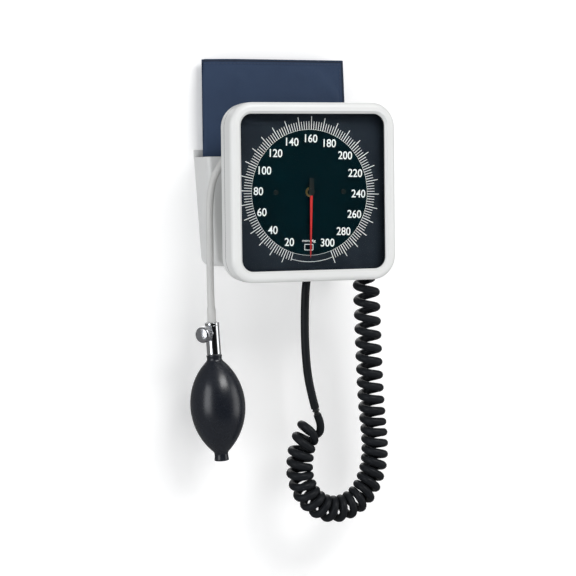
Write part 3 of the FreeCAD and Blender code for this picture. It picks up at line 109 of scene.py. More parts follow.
def clear_where(material, node_kind, output_name):
    """Make a material invisible where a node's output is one."""
    tree = material.node_tree
    test = tree.nodes.new(node_kind)
    clear = tree.nodes.new("ShaderNodeBsdfTransparent")
    mix = tree.nodes.new("ShaderNodeMixShader")
    tree.links.new(test.outputs[output_name], mix.inputs[0])
    tree.links.new(tree.nodes["Principled BSDF"].outputs[0], mix.inputs[1])
    tree.links.new(clear.outputs[0], mix.inputs[2])
    tree.links.new(mix.outputs[0], tree.nodes["Material Output"].inputs["Surface"])


def flat_material(name, color, roughness):
    material = bpy.data.materials.new(name)
    material.use_nodes = True
    shader = material.node_tree.nodes["Principled BSDF"]
    shader.inputs["Base Color"].default_value = (*color, 1)
    shader.inputs["Roughness"].default_value = roughness
    return material


def wall_material():
    """White paint that is seen only from the room's side."""
    material = flat_material("stage_wall", (0.97, 0.97, 0.97), 0.9)
    shader = material.node_tree.nodes["Principled BSDF"]
    shader.inputs["Emission Color"].default_value = (1, 1, 1, 1)
    shader.inputs["Emission Strength"].default_value = 0.16
    clear_where(material, "ShaderNodeNewGeometry", "Backfacing")
    return material


def room_light(lit, mirrored):
    """Even white light, dimmer where a glossy surface mirrors it."""
    world = bpy.data.worlds.new("studio")
    world.use_nodes = True
    tree = world.node_tree
    background = tree.nodes["Background"]
    background.inputs["Color"].default_value = (1, 1, 1, 1)
    path = tree.nodes.new("ShaderNodeLightPath")
    strength = tree.nodes.new("ShaderNodeMapRange")
    strength.inputs["To Min"].default_value = lit
    strength.inputs["To Max"].default_value = mirrored
    tree.links.new(path.outputs["Is Glossy Ray"], strength.inputs["Value"])
    tree.links.new(strength.outputs[0], background.inputs["Strength"])
    return world


def add_studio():
    """Soft lamps round the object, a white wall behind it and a pale floor below."""
    scene = bpy.context.scene
    scene.view_settings.view_transform = "Standard"
    scene.view_settings.look = "None"
    scene.world = room_light(0.52, 0.18)
    add_area("key", (0.25, -0.73, 0.64), 1.6, (0.9, 0.6), 11.5)
    add_area("left", (-0.87, -0.42, 0.06), 1.7, (0.8, 1.4), 9.0, (0.95, 0.97, 1.0))
    front = add_area("front", (0.05, -1.0, -0.15), 3.2, (2.2, 0.5), 11.0)
    front.visible_glossy = False
    card = add_area("card", (0.87, -0.42, 0.05), 1.7, (0.9, 1.4), 6.0)
    card.visible_diffuse = False
    add_area("behind", (0.2, 0.9, 0.5), 1.8, (1.2, 1.2), 10.0)
    wall = add_plane("wall", upright(ROOM_HALF, WALL_Y, FLOOR_Z, WALL_TOP), wall_material())
    wall.visible_shadow = False
    wall.visible_diffuse = False
    wall.visible_glossy = False
    ground = [(x * ROOM_HALF, y * ROOM_HALF, FLOOR_Z) for x, y in ((-1, -1), (1, -1), (1, 1), (-1, 1))]
    floor = add_plane("floor", ground, flat_material("stage_floor", (0.85, 0.85, 0.85), 0.8))
    floor.visible_glossy = False
    # A dark card behind the camera, which only chrome and rubber mirror.
    dark = flat_material("stage_flag", (0.004, 0.004, 0.005), 1.0)
    flag = add_plane("flag", upright(1.7, -2.4, -1.5, 1.2), dark)
    flag.visible_camera = False
    flag.visible_diffuse = False
    flag.visible_shadow = False
    flag.visible_transmission = False


# ---- Mesh helpers ----

def new_piece(name, verts, faces, material, sharp=None):
    """A smooth-shaded mesh object in the row frame, with edges over an angle kept sharp."""
    mesh = bpy.data.meshes.new(name)
    mesh.from_pydata([tuple(v) for v in verts], [], faces)
    mesh.materials.append(material)
    mesh.shade_smooth()
    if sharp is not None:
        mesh.set_sharp_from_angle(angle=math.radians(sharp))
    piece = bpy.data.objects.new(name, mesh)
    bpy.context.scene.collection.objects.link(piece)
    return piece


def spline_points(name, route, steps):
    """Points along the smooth NURBS line that has the route as its control points."""
    curve = bpy.data.curves.new(name, "CURVE")
    curve.dimensions = "3D"
    curve.resolution_u = steps
    spline = curve.splines.new("NURBS")
    spline.points.add(len(route) - 1)
    for point, place in zip(spline.points, route):
        point.co = (*place, 1)
    spline.order_u = 3
    spline.use_endpoint_u = True
    holder = bpy.data.objects.new(name, curve)
    mesh = bpy.data.meshes.new_from_object(holder)
    points = np.array([v.co for v in mesh.vertices], float)
    bpy.data.objects.remove(holder)
    bpy.data.curves.remove(curve)
    bpy.data.meshes.remove(mesh)
    return points


def lengths_along(points):
    steps = np.linalg.norm(np.diff(points, axis=0), axis=1)
    return np.concatenate([[0], np.cumsum(steps)])


def resample(points, count):
    """The same line as evenly spaced points."""
    along = lengths_along(points)
    wanted = np.linspace(0, along[-1], count)
    return np.stack([np.interp(wanted, along, points[:, k]) for k in range(3)], axis=1)


def normals_along(points):
    """Two normals at each point of a line, carried along without twist."""
    tangents = np.gradient(points, axis=0)
    tangents /= np.linalg.norm(tangents, axis=1)[:, None]
    side = np.cross(tangents[0], (0.3, 0.9, 0.1))
    sides = []
    for tangent in tangents:
        side = side - tangent * np.dot(side, tangent)
        side = side / np.linalg.norm(side)
        sides.append(side)
    sides = np.array(sides)
    return sides, np.cross(tangents, sides)


def ring_faces(rows, size, closed=False, flipped=False):
    """Quads between rows of ring vertices; closed joins the last row to the first."""
    faces = []
    for i in range(rows if closed else rows - 1):
        here, there = i * size, (i + 1) % rows * size
        for j in range(size):
            k = (j + 1) % size
            if flipped:
                faces.append((here + j, there + j, there + k, here + k))
            else:
                faces.append((here + j, here + k, there + k, there + j))
    return faces


def end_caps(rows, size):
    last = (rows - 1) * size
    return [tuple(range(size))[::-1], tuple(range(last, last + size))]


def tube(name, points, radii, sides, material):
    """A closed round tube along a polyline, with a radius for each point."""
    first, second = normals_along(points)
    turn = np.linspace(0, 2 * math.pi, sides, endpoint=False)
    ring = first[:, None, :] * np.cos(turn)[None, :, None] + second[:, None, :] * np.sin(turn)[None, :, None]
    verts = points[:, None, :] + ring * np.asarray(radii)[:, None, None]
    faces = ring_faces(len(points), sides) + end_caps(len(points), sides)
    return new_piece(name, verts.reshape(-1, 3), faces, material, sharp=50)


def lathe(name, profile, matrix, sides, sharp, material, ripple=None):
    """A surface of revolution about the matrix's Z from (radius, height) pairs in millimetres."""
    verts = []
    for radius, height in profile:
        for j in range(sides):
            angle = 2 * math.pi * j / sides
            reach = radius + (ripple(angle, height) if ripple else 0.0)
            verts.append(matrix @ Vector((reach * math.cos(angle), reach * math.sin(angle), height)))
    faces = ring_faces(len(profile), sides) + end_caps(len(profile), sides)
    return new_piece(name, verts, faces, material, sharp)


def arc_profile(centre, radius, start, end, count):
    """(radius, height) pairs round an arc, with angles in degrees from the outward direction."""
    pairs = []
    for i in range(count + 1):
        angle = math.radians(start + (end - start) * i / count)
        pairs.append((centre[0] + radius * math.cos(angle), centre[1] + radius * math.sin(angle)))
    return pairs


def join_meshes(name, meshes, material):
    """One object from several meshes, which are removed."""
    together = bmesh.new()
    for mesh in meshes:
        together.from_mesh(mesh)
        bpy.data.meshes.remove(mesh)
    mesh = bpy.data.meshes.new(name)
    together.to_mesh(mesh)
    together.free()
    mesh.materials.append(material)
    piece = bpy.data.objects.new(name, mesh)
    bpy.context.scene.collection.objects.link(piece)
    return piece


# ---- Materials ----

def tint(code):
    """A linear colour from a hex code."""
    parts = [int(code[i:i + 2], 16) / 255 for i in (0, 2, 4)]
    return tuple(p / 12.92 if p <= 0.04045 else ((p + 0.055) / 1.055) ** 2.4 for p in parts)


class Paint:
    """One procedural material round a Principled shader, in row-frame coordinates."""

    def __init__(self, name, color, roughness, metallic=0.0):
        self.material = bpy.data.materials.new(name)
        self.material.use_nodes = True
        self.tree = self.material.node_tree
        self.shader = self.tree.nodes["Principled BSDF"]
        self.constant("Base Color", (*color, 1))
        self.constant("Roughness", roughness)
        self.constant("Metallic", metallic)
        self.base = color
        self.place = self.add("ShaderNodeTexCoord").outputs["Object"]
        self.normal = None

    def add(self, kind):
        return self.tree.nodes.new(kind)

    def feed(self, socket, value):
        """Link an output to a socket, or set a number or a colour there."""
        if isinstance(value, tuple):
            socket.default_value = (*value, 1)
        elif isinstance(value, (int, float)):
            socket.default_value = value
        else:
            self.tree.links.new(value, socket)

    def constant(self, socket, value):
        self.shader.inputs[socket].default_value = value

    def link(self, output, socket):
        self.feed(self.shader.inputs[socket], output)

    def stretched(self, scale):
        mapping = self.add("ShaderNodeMapping")
        mapping.inputs["Scale"].default_value = scale
        self.feed(mapping.inputs["Vector"], self.place)
        return mapping.outputs["Vector"]

    def noise(self, scale, detail=3.0, stretch=(1, 1, 1), distortion=0.0):
        node = self.add("ShaderNodeTexNoise")
        node.inputs["Scale"].default_value = scale
        node.inputs["Detail"].default_value = detail
        node.inputs["Distortion"].default_value = distortion
        self.feed(node.inputs["Vector"], self.stretched(stretch))
        return node.outputs["Fac"]

    def wave(self, scale, axis, distortion):
        node = self.add("ShaderNodeTexWave")
        node.bands_direction = axis
        node.inputs["Scale"].default_value = scale
        node.inputs["Distortion"].default_value = distortion
        node.inputs["Detail"].default_value = 1.0
        node.inputs["Detail Scale"].default_value = 1.5
        self.feed(node.inputs["Vector"], self.place)
        return node.outputs["Fac"]

    def math(self, operation, first, second):
        node = self.add("ShaderNodeMath")
        node.operation = operation
        for socket, value in zip(node.inputs, (first, second)):
            self.feed(socket, value)
        return node.outputs[0]

    def ranged(self, value, low, high, start=0.3, end=0.7):
        """The value's start to end stretched to low to high."""
        node = self.add("ShaderNodeMapRange")
        for socket, number in zip(node.inputs[1:5], (start, end, low, high)):
            socket.default_value = number
        self.feed(node.inputs[0], value)
        return node.outputs[0]

    def mixed(self, fac, first, second):
        node = self.add("ShaderNodeMix")
        node.data_type = "RGBA"
        for k, value in ((0, fac), (6, first), (7, second)):
            self.feed(node.inputs[k], value)
        return node.outputs[2]

    def blotches(self, other, scale, most):
        """Soft patches of a second colour, at most by the given share."""
        fac = self.ranged(self.noise(scale, 4.0), 0.0, most)
        self.link(self.mixed(fac, self.base, other), "Base Color")

    def uneven(self, low, high, scale):
        """Roughness that drifts over the surface."""
        self.link(self.ranged(self.noise(scale, 4.0), low, high), "Roughness")

    def bump(self, height, depth, strength=1.0):
        """Relief of a depth in metres, added to what is there already."""
        node = self.add("ShaderNodeBump")
        node.inputs["Strength"].default_value = strength
        node.inputs["Distance"].default_value = depth
        self.feed(node.inputs["Height"], height)
        if self.normal is not None:
            self.feed(node.inputs["Normal"], self.normal)
        self.normal = node.outputs["Normal"]
        self.link(self.normal, "Normal")


def moulded(name, color, shade, roughness, grain):
    """Moulded plastic: a fine eggshell grain, faint flow marks and uneven gloss."""
    paint = Paint(name, color, roughness)
    paint.blotches(shade, 14.0, 0.55)
    paint.uneven(roughness - 0.06, roughness + 0.09, 45.0)
    paint.bump(paint.noise(grain, 2.0), 0.00006, 0.35)
    paint.bump(paint.noise(60.0, 2.0), 0.0004, 0.06)
    return paint


def case_plastic():
    paint = moulded("case_plastic", tint("e4e5e4"), tint("dddedd"), 0.36, 2600.0)
    paint.constant("Coat Weight", 0.15)
    paint.constant("Coat Roughness", 0.25)
    return paint.material


def soft_rubber(name, color, dust, low, high, dusting=0.35, gloss=0.4):
    """Rubber: satin, with faint bloom in patches and a very fine skin."""
    paint = Paint(name, color, low)
    paint.constant("Specular IOR Level", gloss)
    paint.blotches(dust, 38.0, dusting)
    paint.uneven(low, high, 90.0)
    paint.bump(paint.noise(1500.0, 3.0), 0.00005, 0.4)
    paint.bump(paint.noise(140.0, 2.0), 0.0002, 0.15)
    return paint.material


def lens_acrylic():
    """Clear acrylic with a faint polish haze, which lets the lamps through to the dial."""
    paint = Paint("lens_acrylic", (0.98, 0.995, 0.99), 0.0)
    paint.constant("Transmission Weight", 1.0)
    paint.constant("IOR", 1.08)
    paint.uneven(0.0, 0.006, 30.0)
    clear_where(paint.material, "ShaderNodeLightPath", "Is Shadow Ray")
    return paint.material


def dial_enamel(ring_radius):
    """Black enamel, greenish inside the scale's ring and bluish outside it."""
    inner, outer = tint("01151a"), tint("22282f")
    paint = Paint("dial_enamel", inner, 0.6)
    paint.constant("Specular IOR Level", 0.01)
    flat = paint.add("ShaderNodeSeparateXYZ")
    paint.feed(flat.inputs[0], paint.place)
    squares = [paint.math("MULTIPLY", flat.outputs[k], flat.outputs[k]) for k in (0, 2)]
    reach = paint.math("SQRT", paint.math("ADD", *squares), 0.0)
    outside = paint.math("GREATER_THAN", reach, ring_radius)
    color = paint.mixed(outside, inner, outer)
    mottle = paint.ranged(paint.noise(26.0), 0.0, 0.22)
    paint.link(paint.mixed(mottle, color, tint("080d10")), "Base Color")
    paint.uneven(0.55, 0.65, 40.0)
    paint.bump(paint.noise(60.0, 2.0), 0.0001, 0.04)
    return paint.material


def coated(name, color, shade, patches, share, roughness, grain, relief, specular=0.5):
    """A thin coat of ink, lacquer or dye: patches of a second shade and a fine grain."""
    paint = Paint(name, tint(color), roughness)
    paint.constant("Specular IOR Level", specular)
    paint.blotches(tint(shade), patches, share)
    paint.bump(paint.noise(grain, 2.0), *relief)
    return paint.material


def chrome():
    """Polished chrome with hairline scratches and faint smears."""
    paint = Paint("chrome", (0.83, 0.84, 0.86), 0.07, 1.0)
    paint.blotches((0.75, 0.77, 0.80), 120.0, 0.6)
    smears = paint.ranged(paint.noise(110.0, 3.0), 0.03, 0.13)
    hairlines = paint.ranged(paint.noise(900.0, 4.0, (6.0, 6.0, 0.25)), 0.0, 0.08, 0.45, 0.75)
    paint.link(paint.math("ADD", smears, hairlines), "Roughness")
    paint.bump(paint.noise(700.0, 3.0, (4.0, 4.0, 0.4)), 0.00001, 0.25)
    return paint.material


def knob_metal():
    """Duller plating with fine rings from turning."""
    paint = Paint("knob_metal", (0.68, 0.69, 0.72), 0.2, 1.0)
    paint.blotches((0.57, 0.58, 0.62), 240.0, 0.8)
    paint.uneven(0.16, 0.3, 300.0)
    paint.bump(paint.noise(500.0, 3.0), 0.00012, 0.5)
    return paint.material


def turned_metal(name, color, shade, roughness):
    """Machined metal: fine tool marks, a little tarnish."""
    paint = Paint(name, color, roughness, 1.0)
    paint.blotches(shade, 180.0, 0.7)
    paint.uneven(roughness - 0.08, roughness + 0.14, 260.0)
    paint.bump(paint.noise(1400.0, 3.0, (1.0, 3.0, 1.0)), 0.00003, 0.4)
    return paint.material


def ruby():
    paint = Paint("ruby", tint("a01832"), 0.12)
    paint.constant("Coat Weight", 0.6)
    paint.blotches(tint("7c0f26"), 600.0, 0.7)
    return paint.material


def woven(name, color, shade, thread, crest_highlight):
    """Plain-weave nylon: crossing threads with a painted highlight on their raised crossings, uneven dye and
    a soft sheen.
    """
    paint = Paint(name, color, 0.7)
    per_metre = 0.5 / thread
    across = paint.wave(per_metre, "X", 0.6)
    along = paint.wave(per_metre, "Z", 0.6)
    weave = paint.math("MULTIPLY", across, along)
    mottle = paint.ranged(paint.noise(22.0, 5.0), 0.0, 1.0)
    color_drift = paint.mixed(mottle, color, shade)
    # Painted highlight: where the threads cross, the colour is mixed toward the last, lighter colour, as
    # light on the raised thread tops.
    lit = paint.mixed(paint.math("MULTIPLY", weave, 0.55), color_drift, crest_highlight)
    paint.link(lit, "Base Color")
    paint.link(paint.ranged(weave, 0.74, 0.52, 0.0, 1.0), "Roughness")
    paint.constant("Sheen Weight", 0.08)
    paint.constant("Specular IOR Level", 0.3)
    paint.constant("Sheen Roughness", 0.4)
    paint.bump(paint.noise(28.0, 4.0, (1.0, 1.0, 1.6), 0.6), 0.0012, 0.25)
    paint.bump(weave, 0.00018, 0.55)
    return paint.material


def hook_tape():
    """Hook tape: rows of tiny stiff hooks."""
    paint = Paint("hook_tape", tint("161b27"), 0.8)
    rows = paint.math("MULTIPLY", paint.wave(320.0, "X", 0.8), paint.wave(320.0, "Z", 0.8))
    paint.link(paint.mixed(rows, tint("0e121b"), tint("2b3346")), "Base Color")
    paint.bump(rows, 0.0006, 0.9)
    return paint.material


# ---- Routes of the hoses: the part's own, but for the coil's last four points ----

GREY_ROUTE = [
    (-0.0460, -0.0282, 0.0620), (-0.0520, -0.0410, 0.0510), (-0.0610, -0.0500, 0.0385),
    (-0.0735, -0.0515, 0.0275), (-0.0820, -0.0490, 0.0120), (-0.0846, -0.0472, -0.0110),
    (-0.0841, -0.0463, -0.0460), (-0.0846, -0.0467, -0.0840), (-0.0835, -0.0465, -0.1203),
]
BLACK_ROUTE = [
    (0.0250, -0.0289, 0.0640), (0.0250, -0.0428, 0.0515), (0.0270, -0.0495, 0.0300),
    (0.0295, -0.0498, 0.0000), (0.0250, -0.0500, -0.0310), (0.0150, -0.0535, -0.0600),
    (0.0078, -0.0564, -0.0870), (0.0062, -0.0570, -0.1150), (0.0062, -0.0570, -0.1430),
    (0.0080, -0.0570, -0.1690), (0.0116, -0.0570, -0.1890), (0.0160, -0.0570, -0.2050),
]
COIL_ROUTE = [
    (0.0700, -0.0570, -0.0780), (0.0712, -0.0570, -0.1180), (0.0726, -0.0570, -0.1650),
    (0.0746, -0.0570, -0.2080), (0.0786, -0.0570, -0.2440), (0.0755, -0.0570, -0.2690),
    (0.0645, -0.0570, -0.2915), (0.0450, -0.0570, -0.3030), (0.0240, -0.0570, -0.3020),
    (0.0070, -0.0570, -0.2890), (-0.0012, -0.0570, -0.2685), (-0.0004, -0.0570, -0.2520),
    (0.0024, -0.0570, -0.2380), (0.0086, -0.0570, -0.2262),
]
LEAD_TOP, LEAD_END = (0.0700, -0.0570, -0.0640), (0.0700, -0.0570, -0.0700)
JOINER_END = (0.0179, -0.0570, -0.2110)
HOSE_STEPS, HOSE_SIDES = 14, 24
GREY_D, BLACK_D, COIL_D = 6.8 * MM, 7.9 * MM, 7.5 * MM
BARB_END, BARB_SLOPE, BARB_SWELL = 12.0 * MM, 3.0 * MM, 0.2
COIL_SIDES, TURN_POINTS = 14, 16
COIL_RADIUS = 9.3625 * MM
OPENING_TURNS = 0.7


def bulb_hose(material):
    points = resample(spline_points("bulb_hose_line", GREY_ROUTE, HOSE_STEPS), 160)
    along = lengths_along(points)
    left = along[-1] - along
    swell = 1.0 + BARB_SWELL * np.clip((BARB_END + BARB_SLOPE - left) / BARB_SLOPE, 0, 1)
    piece = tube("bulb_tubing", points, GREY_D / 2 * swell, HOSE_SIDES, material)
    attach(piece, "cuff")
    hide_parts("bulb_hose")


def cuff_hose(material):
    points = resample(spline_points("cuff_hose_line", BLACK_ROUTE, HOSE_STEPS), 200)
    piece = tube("cuff_tubing", points, np.full(len(points), BLACK_D / 2), HOSE_SIDES, material)
    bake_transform(piece)
    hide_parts("cuff_hose")


# The distance between turns, in millimetres, at shares of the coil's length.
PITCH_AT = (0.0, 0.17, 0.32, 0.43, 0.70, 0.86, 0.945, 1.0)
PITCH = (15.0, 13.2, 12.2, 10.0, 9.9, 9.8, 9.7, 16.5)
LAST_LEAN, LEANING_TURNS = 26.0, 1.1
COIL_TAIL = [
    (0.0036, -0.0628, -0.2212), (0.0019, -0.0570, -0.2194), (0.0034, -0.0508, -0.2202),
    (0.0085, -0.0480, -0.2243), (0.0142, -0.0490, -0.2292), (0.0187, -0.0525, -0.2314),
    (0.0212, -0.0562, -0.2282), (0.0214, -0.0570, -0.2215), (0.0198, -0.0570, -0.2155), JOINER_END,
]


def coil_route():
    """Control points of the coiled hose: the lead, the turns and the tail to the connector."""
    centre = resample(spline_points("coil_line", COIL_ROUTE, HOSE_STEPS), 700)
    along = lengths_along(centre)
    share = along / along[-1]
    pitch = np.interp(share, PITCH_AT, PITCH) * MM
    turns = np.concatenate([[0], np.cumsum(np.diff(along) / pitch[1:])])
    tangents = np.gradient(centre, axis=0)
    tangents /= np.linalg.norm(tangents, axis=1)[:, None]
    front = np.array([0, -1.0, 0])
    beside = np.cross(tangents, front)
    first = turns[-1] % (1 / TURN_POINTS)
    wanted = np.arange(first, turns[-1] + 1e-6, 1 / TURN_POINTS)
    at, out, ahead = (np.stack([np.interp(wanted, turns, column) for column in table.T], axis=1)
                      for table in (centre, beside, tangents))
    opening = np.clip((wanted - first) / OPENING_TURNS, 0, 1)
    radius = COIL_RADIUS * opening * (2 - opening)
    phase = 2 * math.pi * (turns[-1] - wanted)
    lean = np.tan(np.radians(LAST_LEAN)) * np.clip((wanted - turns[-1] + LEANING_TURNS) / LEANING_TURNS, 0, 1)
    turn_points = (at + (radius * np.cos(phase))[:, None] * front + (radius * np.sin(phase))[:, None] * out
                   - (radius * np.sin(phase) * lean)[:, None] * ahead)
    return [LEAD_TOP, LEAD_END] + [tuple(p) for p in turn_points] + COIL_TAIL


def coiled_hose(material):
    points = spline_points("coil_cord_line", coil_route(), 4)
    piece = tube("coiled_tubing", points, np.full(len(points), COIL_D / 2), COIL_SIDES, material)
    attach(piece, "root")
    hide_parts("coiled_hose", "coil_lead", "coil_tail")


# ---- Dial ----

FRONT_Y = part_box("dial_plate")[0].y
INK = 0.04 * MM
RING_RADIUS, RING_WIDTH = 58.2, 0.2
LONG_TICK, SHORT_TICK = (70.3, 0.62), (65.8, 0.5)
ZERO_ARC_RADIUS, ZERO_ARC_WIDTH = 64.2, 0.4
ZERO_HALF_WIDTH, ZERO_HALF_HEIGHT, ZERO_MIDDLE, ZERO_LINE = 4.15, 2.6, -50.7, 0.5
SCALE_LOW, SCALE_HIGH, SCALE_TOP = 14, 300, 160
DEGREES_PER_MMHG = 1.125
DIAL_DROP, DIAL_TURN = 0.4, 2.0
DIAL_PLACE = Matrix.Translation((0, 0, -DIAL_DROP * MM)) @ Matrix.Rotation(math.radians(DIAL_TURN), 4, "Y")


def dial_angle(pressure):
    """Clockwise from straight up, in radians."""
    return math.radians((pressure - SCALE_TOP) * DEGREES_PER_MMHG)


def on_dial(radius, angle):
    """A point on the dial's face, radius in millimetres, angle clockwise from the top."""
    return Vector((radius * MM * math.sin(angle), FRONT_Y, radius * MM * math.cos(angle)))


def printed_bar(start, end, width):
    """Corners and faces of a thin raised bar between two points on the dial's face."""
    along = (end - start).normalized()
    side = along.cross(Vector((0, 1, 0))) * (width * MM / 2)
    out = Vector((0, -INK, 0))
    base = [start - side, start + side, end + side, end - side]
    verts = base + [v + out for v in base]
    faces = [(4, 5, 6, 7), (0, 1, 5, 4), (1, 2, 6, 5), (2, 3, 7, 6), (3, 0, 4, 7)]
    return verts, faces


def printed_bars(name, bars, material):
    verts, faces = [], []
    for start, end, width in bars:
        more, sides = printed_bar(start, end, width)
        faces += [tuple(i + len(verts) for i in face) for face in sides]
        verts += more
    piece = new_piece(name, verts, faces, material, sharp=30)
    piece.data.transform(DIAL_PLACE)
    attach(piece, "root")


def arc_bars(radius, start, end, width, count):
    """A curved line as short bars, its angles in degrees clockwise from the top."""
    angles = [math.radians(start + (end - start) * i / count) for i in range(count + 1)]
    return [(on_dial(radius, a), on_dial(radius, b), width) for a, b in zip(angles, angles[1:])]


def dial_scale(material):
    bars = arc_bars(RING_RADIUS, -180, 180, RING_WIDTH, 180)
    for pressure in range(SCALE_LOW, SCALE_HIGH + 1, 2):
        angle = dial_angle(pressure)
        outer, width = LONG_TICK if pressure % 10 == 0 else SHORT_TICK
        bars.append((on_dial(RING_RADIUS, angle), on_dial(outer, angle), width))
    gap_start, gap_end = math.degrees(dial_angle(SCALE_HIGH)), 360 + math.degrees(dial_angle(SCALE_LOW))
    bars += arc_bars(ZERO_ARC_RADIUS, gap_start, gap_end, ZERO_ARC_WIDTH, 24)
    printed_bars("dial_scale", bars, material)


def zero_window(material):
    """The small rectangle that the pointer rests on at no pressure."""
    corners = [Vector((x * ZERO_HALF_WIDTH * MM, FRONT_Y, (ZERO_MIDDLE + z * ZERO_HALF_HEIGHT) * MM))
               for x, z in ((-1, -1), (1, -1), (1, 1), (-1, 1))]
    bars = [(a, b, ZERO_LINE) for a, b in zip(corners, corners[1:] + corners[:1])]
    printed_bars("zero_window", bars, material)


def lettering(text, height, centre, squeeze):
    """A mesh of raised letters on the dial, centred on a point and scaled to a height."""
    curve = bpy.data.curves.new(text, "FONT")
    curve.body = text
    curve.extrude = 0.001
    curve.offset = 0.008
    holder = bpy.data.objects.new(text, curve)
    mesh = bpy.data.meshes.new_from_object(holder)
    bpy.data.objects.remove(holder)
    bpy.data.curves.remove(curve)
    co = np.array([v.co for v in mesh.vertices])
    low, high = co.min(0), co.max(0)
    scale = height * MM / (high[1] - low[1])
    middle = (low + high) / 2
    flat = (co - middle) * scale
    placed = np.stack([centre.x + flat[:, 0] * squeeze,
                       np.where(co[:, 2] > 0, FRONT_Y - INK, FRONT_Y),
                       centre.z + flat[:, 1]], axis=1)
    mesh.vertices.foreach_set("co", placed.ravel())
    return mesh


NUMBER_RADIUS, NUMBER_HEIGHT, NUMBER_SQUEEZE = 50.0, 7.4, 0.94
TWO_DIGITS_OUT, THREE_DIGITS_OUT = 1.03, 0.985
UNIT_RADIUS, UNIT_HEIGHT, UNIT_SQUEEZE = -45.0, 2.9, 1.6


def dial_numbers(material):
    meshes = []
    for pressure in range(20, SCALE_HIGH + 1, 20):
        centre = on_dial(NUMBER_RADIUS, dial_angle(pressure))
        centre.x *= TWO_DIGITS_OUT if pressure < 100 else THREE_DIGITS_OUT
        meshes.append(lettering(str(pressure), NUMBER_HEIGHT, centre, NUMBER_SQUEEZE))
    meshes.append(lettering("mmHg", UNIT_HEIGHT, on_dial(UNIT_RADIUS, 0.0), UNIT_SQUEEZE))
    piece = join_meshes("dial_numbers", meshes, material)
    piece.data.transform(DIAL_PLACE)
    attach(piece, "root")


# ---- Case gasket ----

CASE_CORNER = 23.0
BEAD_FACE = ((3.0, 0.0), (0.4, 0.0), (0.1, 0.25), (0.02, 0.6), (0.1, 0.95), (0.4, 1.2), (3.0, 1.2))


def rounded_square(half, corner, steps=9):
    """(x, z) pairs round a square with round corners, in millimetres."""
    points = []
    for quarter in range(4):
        for i in range(steps + 1):
            angle = math.radians(90 * quarter + 90 * i / steps)
            middle = math.radians(90 * quarter + 45)
            across = math.copysign(half - corner, math.cos(middle))
            up = math.copysign(half - corner, math.sin(middle))
            points.append((across + corner * math.cos(angle), up + corner * math.sin(angle)))
    return points


def gasket_bead(material):
    """The grey seal between the bezel and the rear shell, whose rounded lip stands flush with the case."""
    low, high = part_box("front_bezel")
    half = (high.x - low.x) / 2 / MM
    centre_x, centre_z = (low.x + high.x) / 2 / MM, (low.z + high.z) / 2 / MM
    joint = high.y / MM
    verts = []
    for inset, depth in BEAD_FACE:
        for x, z in rounded_square(half - inset, CASE_CORNER - inset):
            verts.append(((centre_x + x) * MM, (joint + depth) * MM, (centre_z + z) * MM))
    faces = ring_faces(len(BEAD_FACE), len(verts) // len(BEAD_FACE), closed=True, flipped=True)
    piece = new_piece("gasket_bead", verts, faces, material, sharp=50)
    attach(piece, "root")
    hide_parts("case_gasket")


# ---- Valve and bulb ----

VALVE_TOP = Vector(GREY_ROUTE[-1])
VALVE_TILT = math.radians(-3.6)
VALVE_FRAME = Matrix.Translation(VALVE_TOP) @ Matrix.Rotation(VALVE_TILT, 4, "Y") @ Matrix.Scale(MM, 4)
KNOB_AZIMUTH = math.radians(216)
KNOB_HEIGHT, KNOB_NEAR, KNOB_FAR, KNOB_RADIUS = -9.8, 10.2, 19.4, 7.5
KNOB_AIM = Vector((math.cos(KNOB_AZIMUTH), math.sin(KNOB_AZIMUTH), 0))
KNOB_FRAME = (VALVE_FRAME @ Matrix.Translation((0, 0, KNOB_HEIGHT))
              @ KNOB_AIM.to_track_quat("Z", "Y").to_matrix().to_4x4())
KNURL_DEPTH, KNURL_RIBS = 0.13, 30
VALVE_LENGTH, VALVE_RADIUS = 30.3, 6.6
BULB_LENGTH, BULB_RADIUS, BULB_WIDE_AT, BULB_SKIN = 100.0, 25.7, 47.8, 0.12
NECK_RADIUS, NECK_LENGTH, FOOT_RADIUS, FOOT_LENGTH = 7.05, 5.2, 6.8, 8.0


def thumbscrew(material):
    """A domed knob with a knurled rim, on the valve's left."""
    rim_start, rim_end = KNOB_NEAR + 0.7, KNOB_FAR - 2.6

    def knurl(angle, height):
        if not rim_start <= height <= rim_end:
            return 0.0
        return KNURL_DEPTH * (math.cos(KNURL_RIBS * angle) - 1)

    profile = [(2.1, KNOB_NEAR), (KNOB_RADIUS - 1.0, KNOB_NEAR), (KNOB_RADIUS - 0.35, KNOB_NEAR + 0.25),
               (KNOB_RADIUS, rim_start - 0.02)]
    profile += [(KNOB_RADIUS, rim_start + (rim_end - rim_start) * i / 4) for i in range(5)]
    profile += [(KNOB_RADIUS - 0.05, rim_end + 0.05)]
    dome = KNOB_FAR - rim_end
    for i in range(1, 9):
        share = math.radians(90 * i / 9)
        profile.append((KNOB_RADIUS - 3.4 + 3.4 * math.cos(share), rim_end + (dome - 0.45) * math.sin(share)))
    profile += [(2.2, KNOB_FAR - 0.12), (0.3, KNOB_FAR)]
    piece = lathe("thumbscrew_knob", profile, KNOB_FRAME, 180, 40, material, knurl)
    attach(piece, "valve_knob")
    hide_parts("valve_thumbscrew")


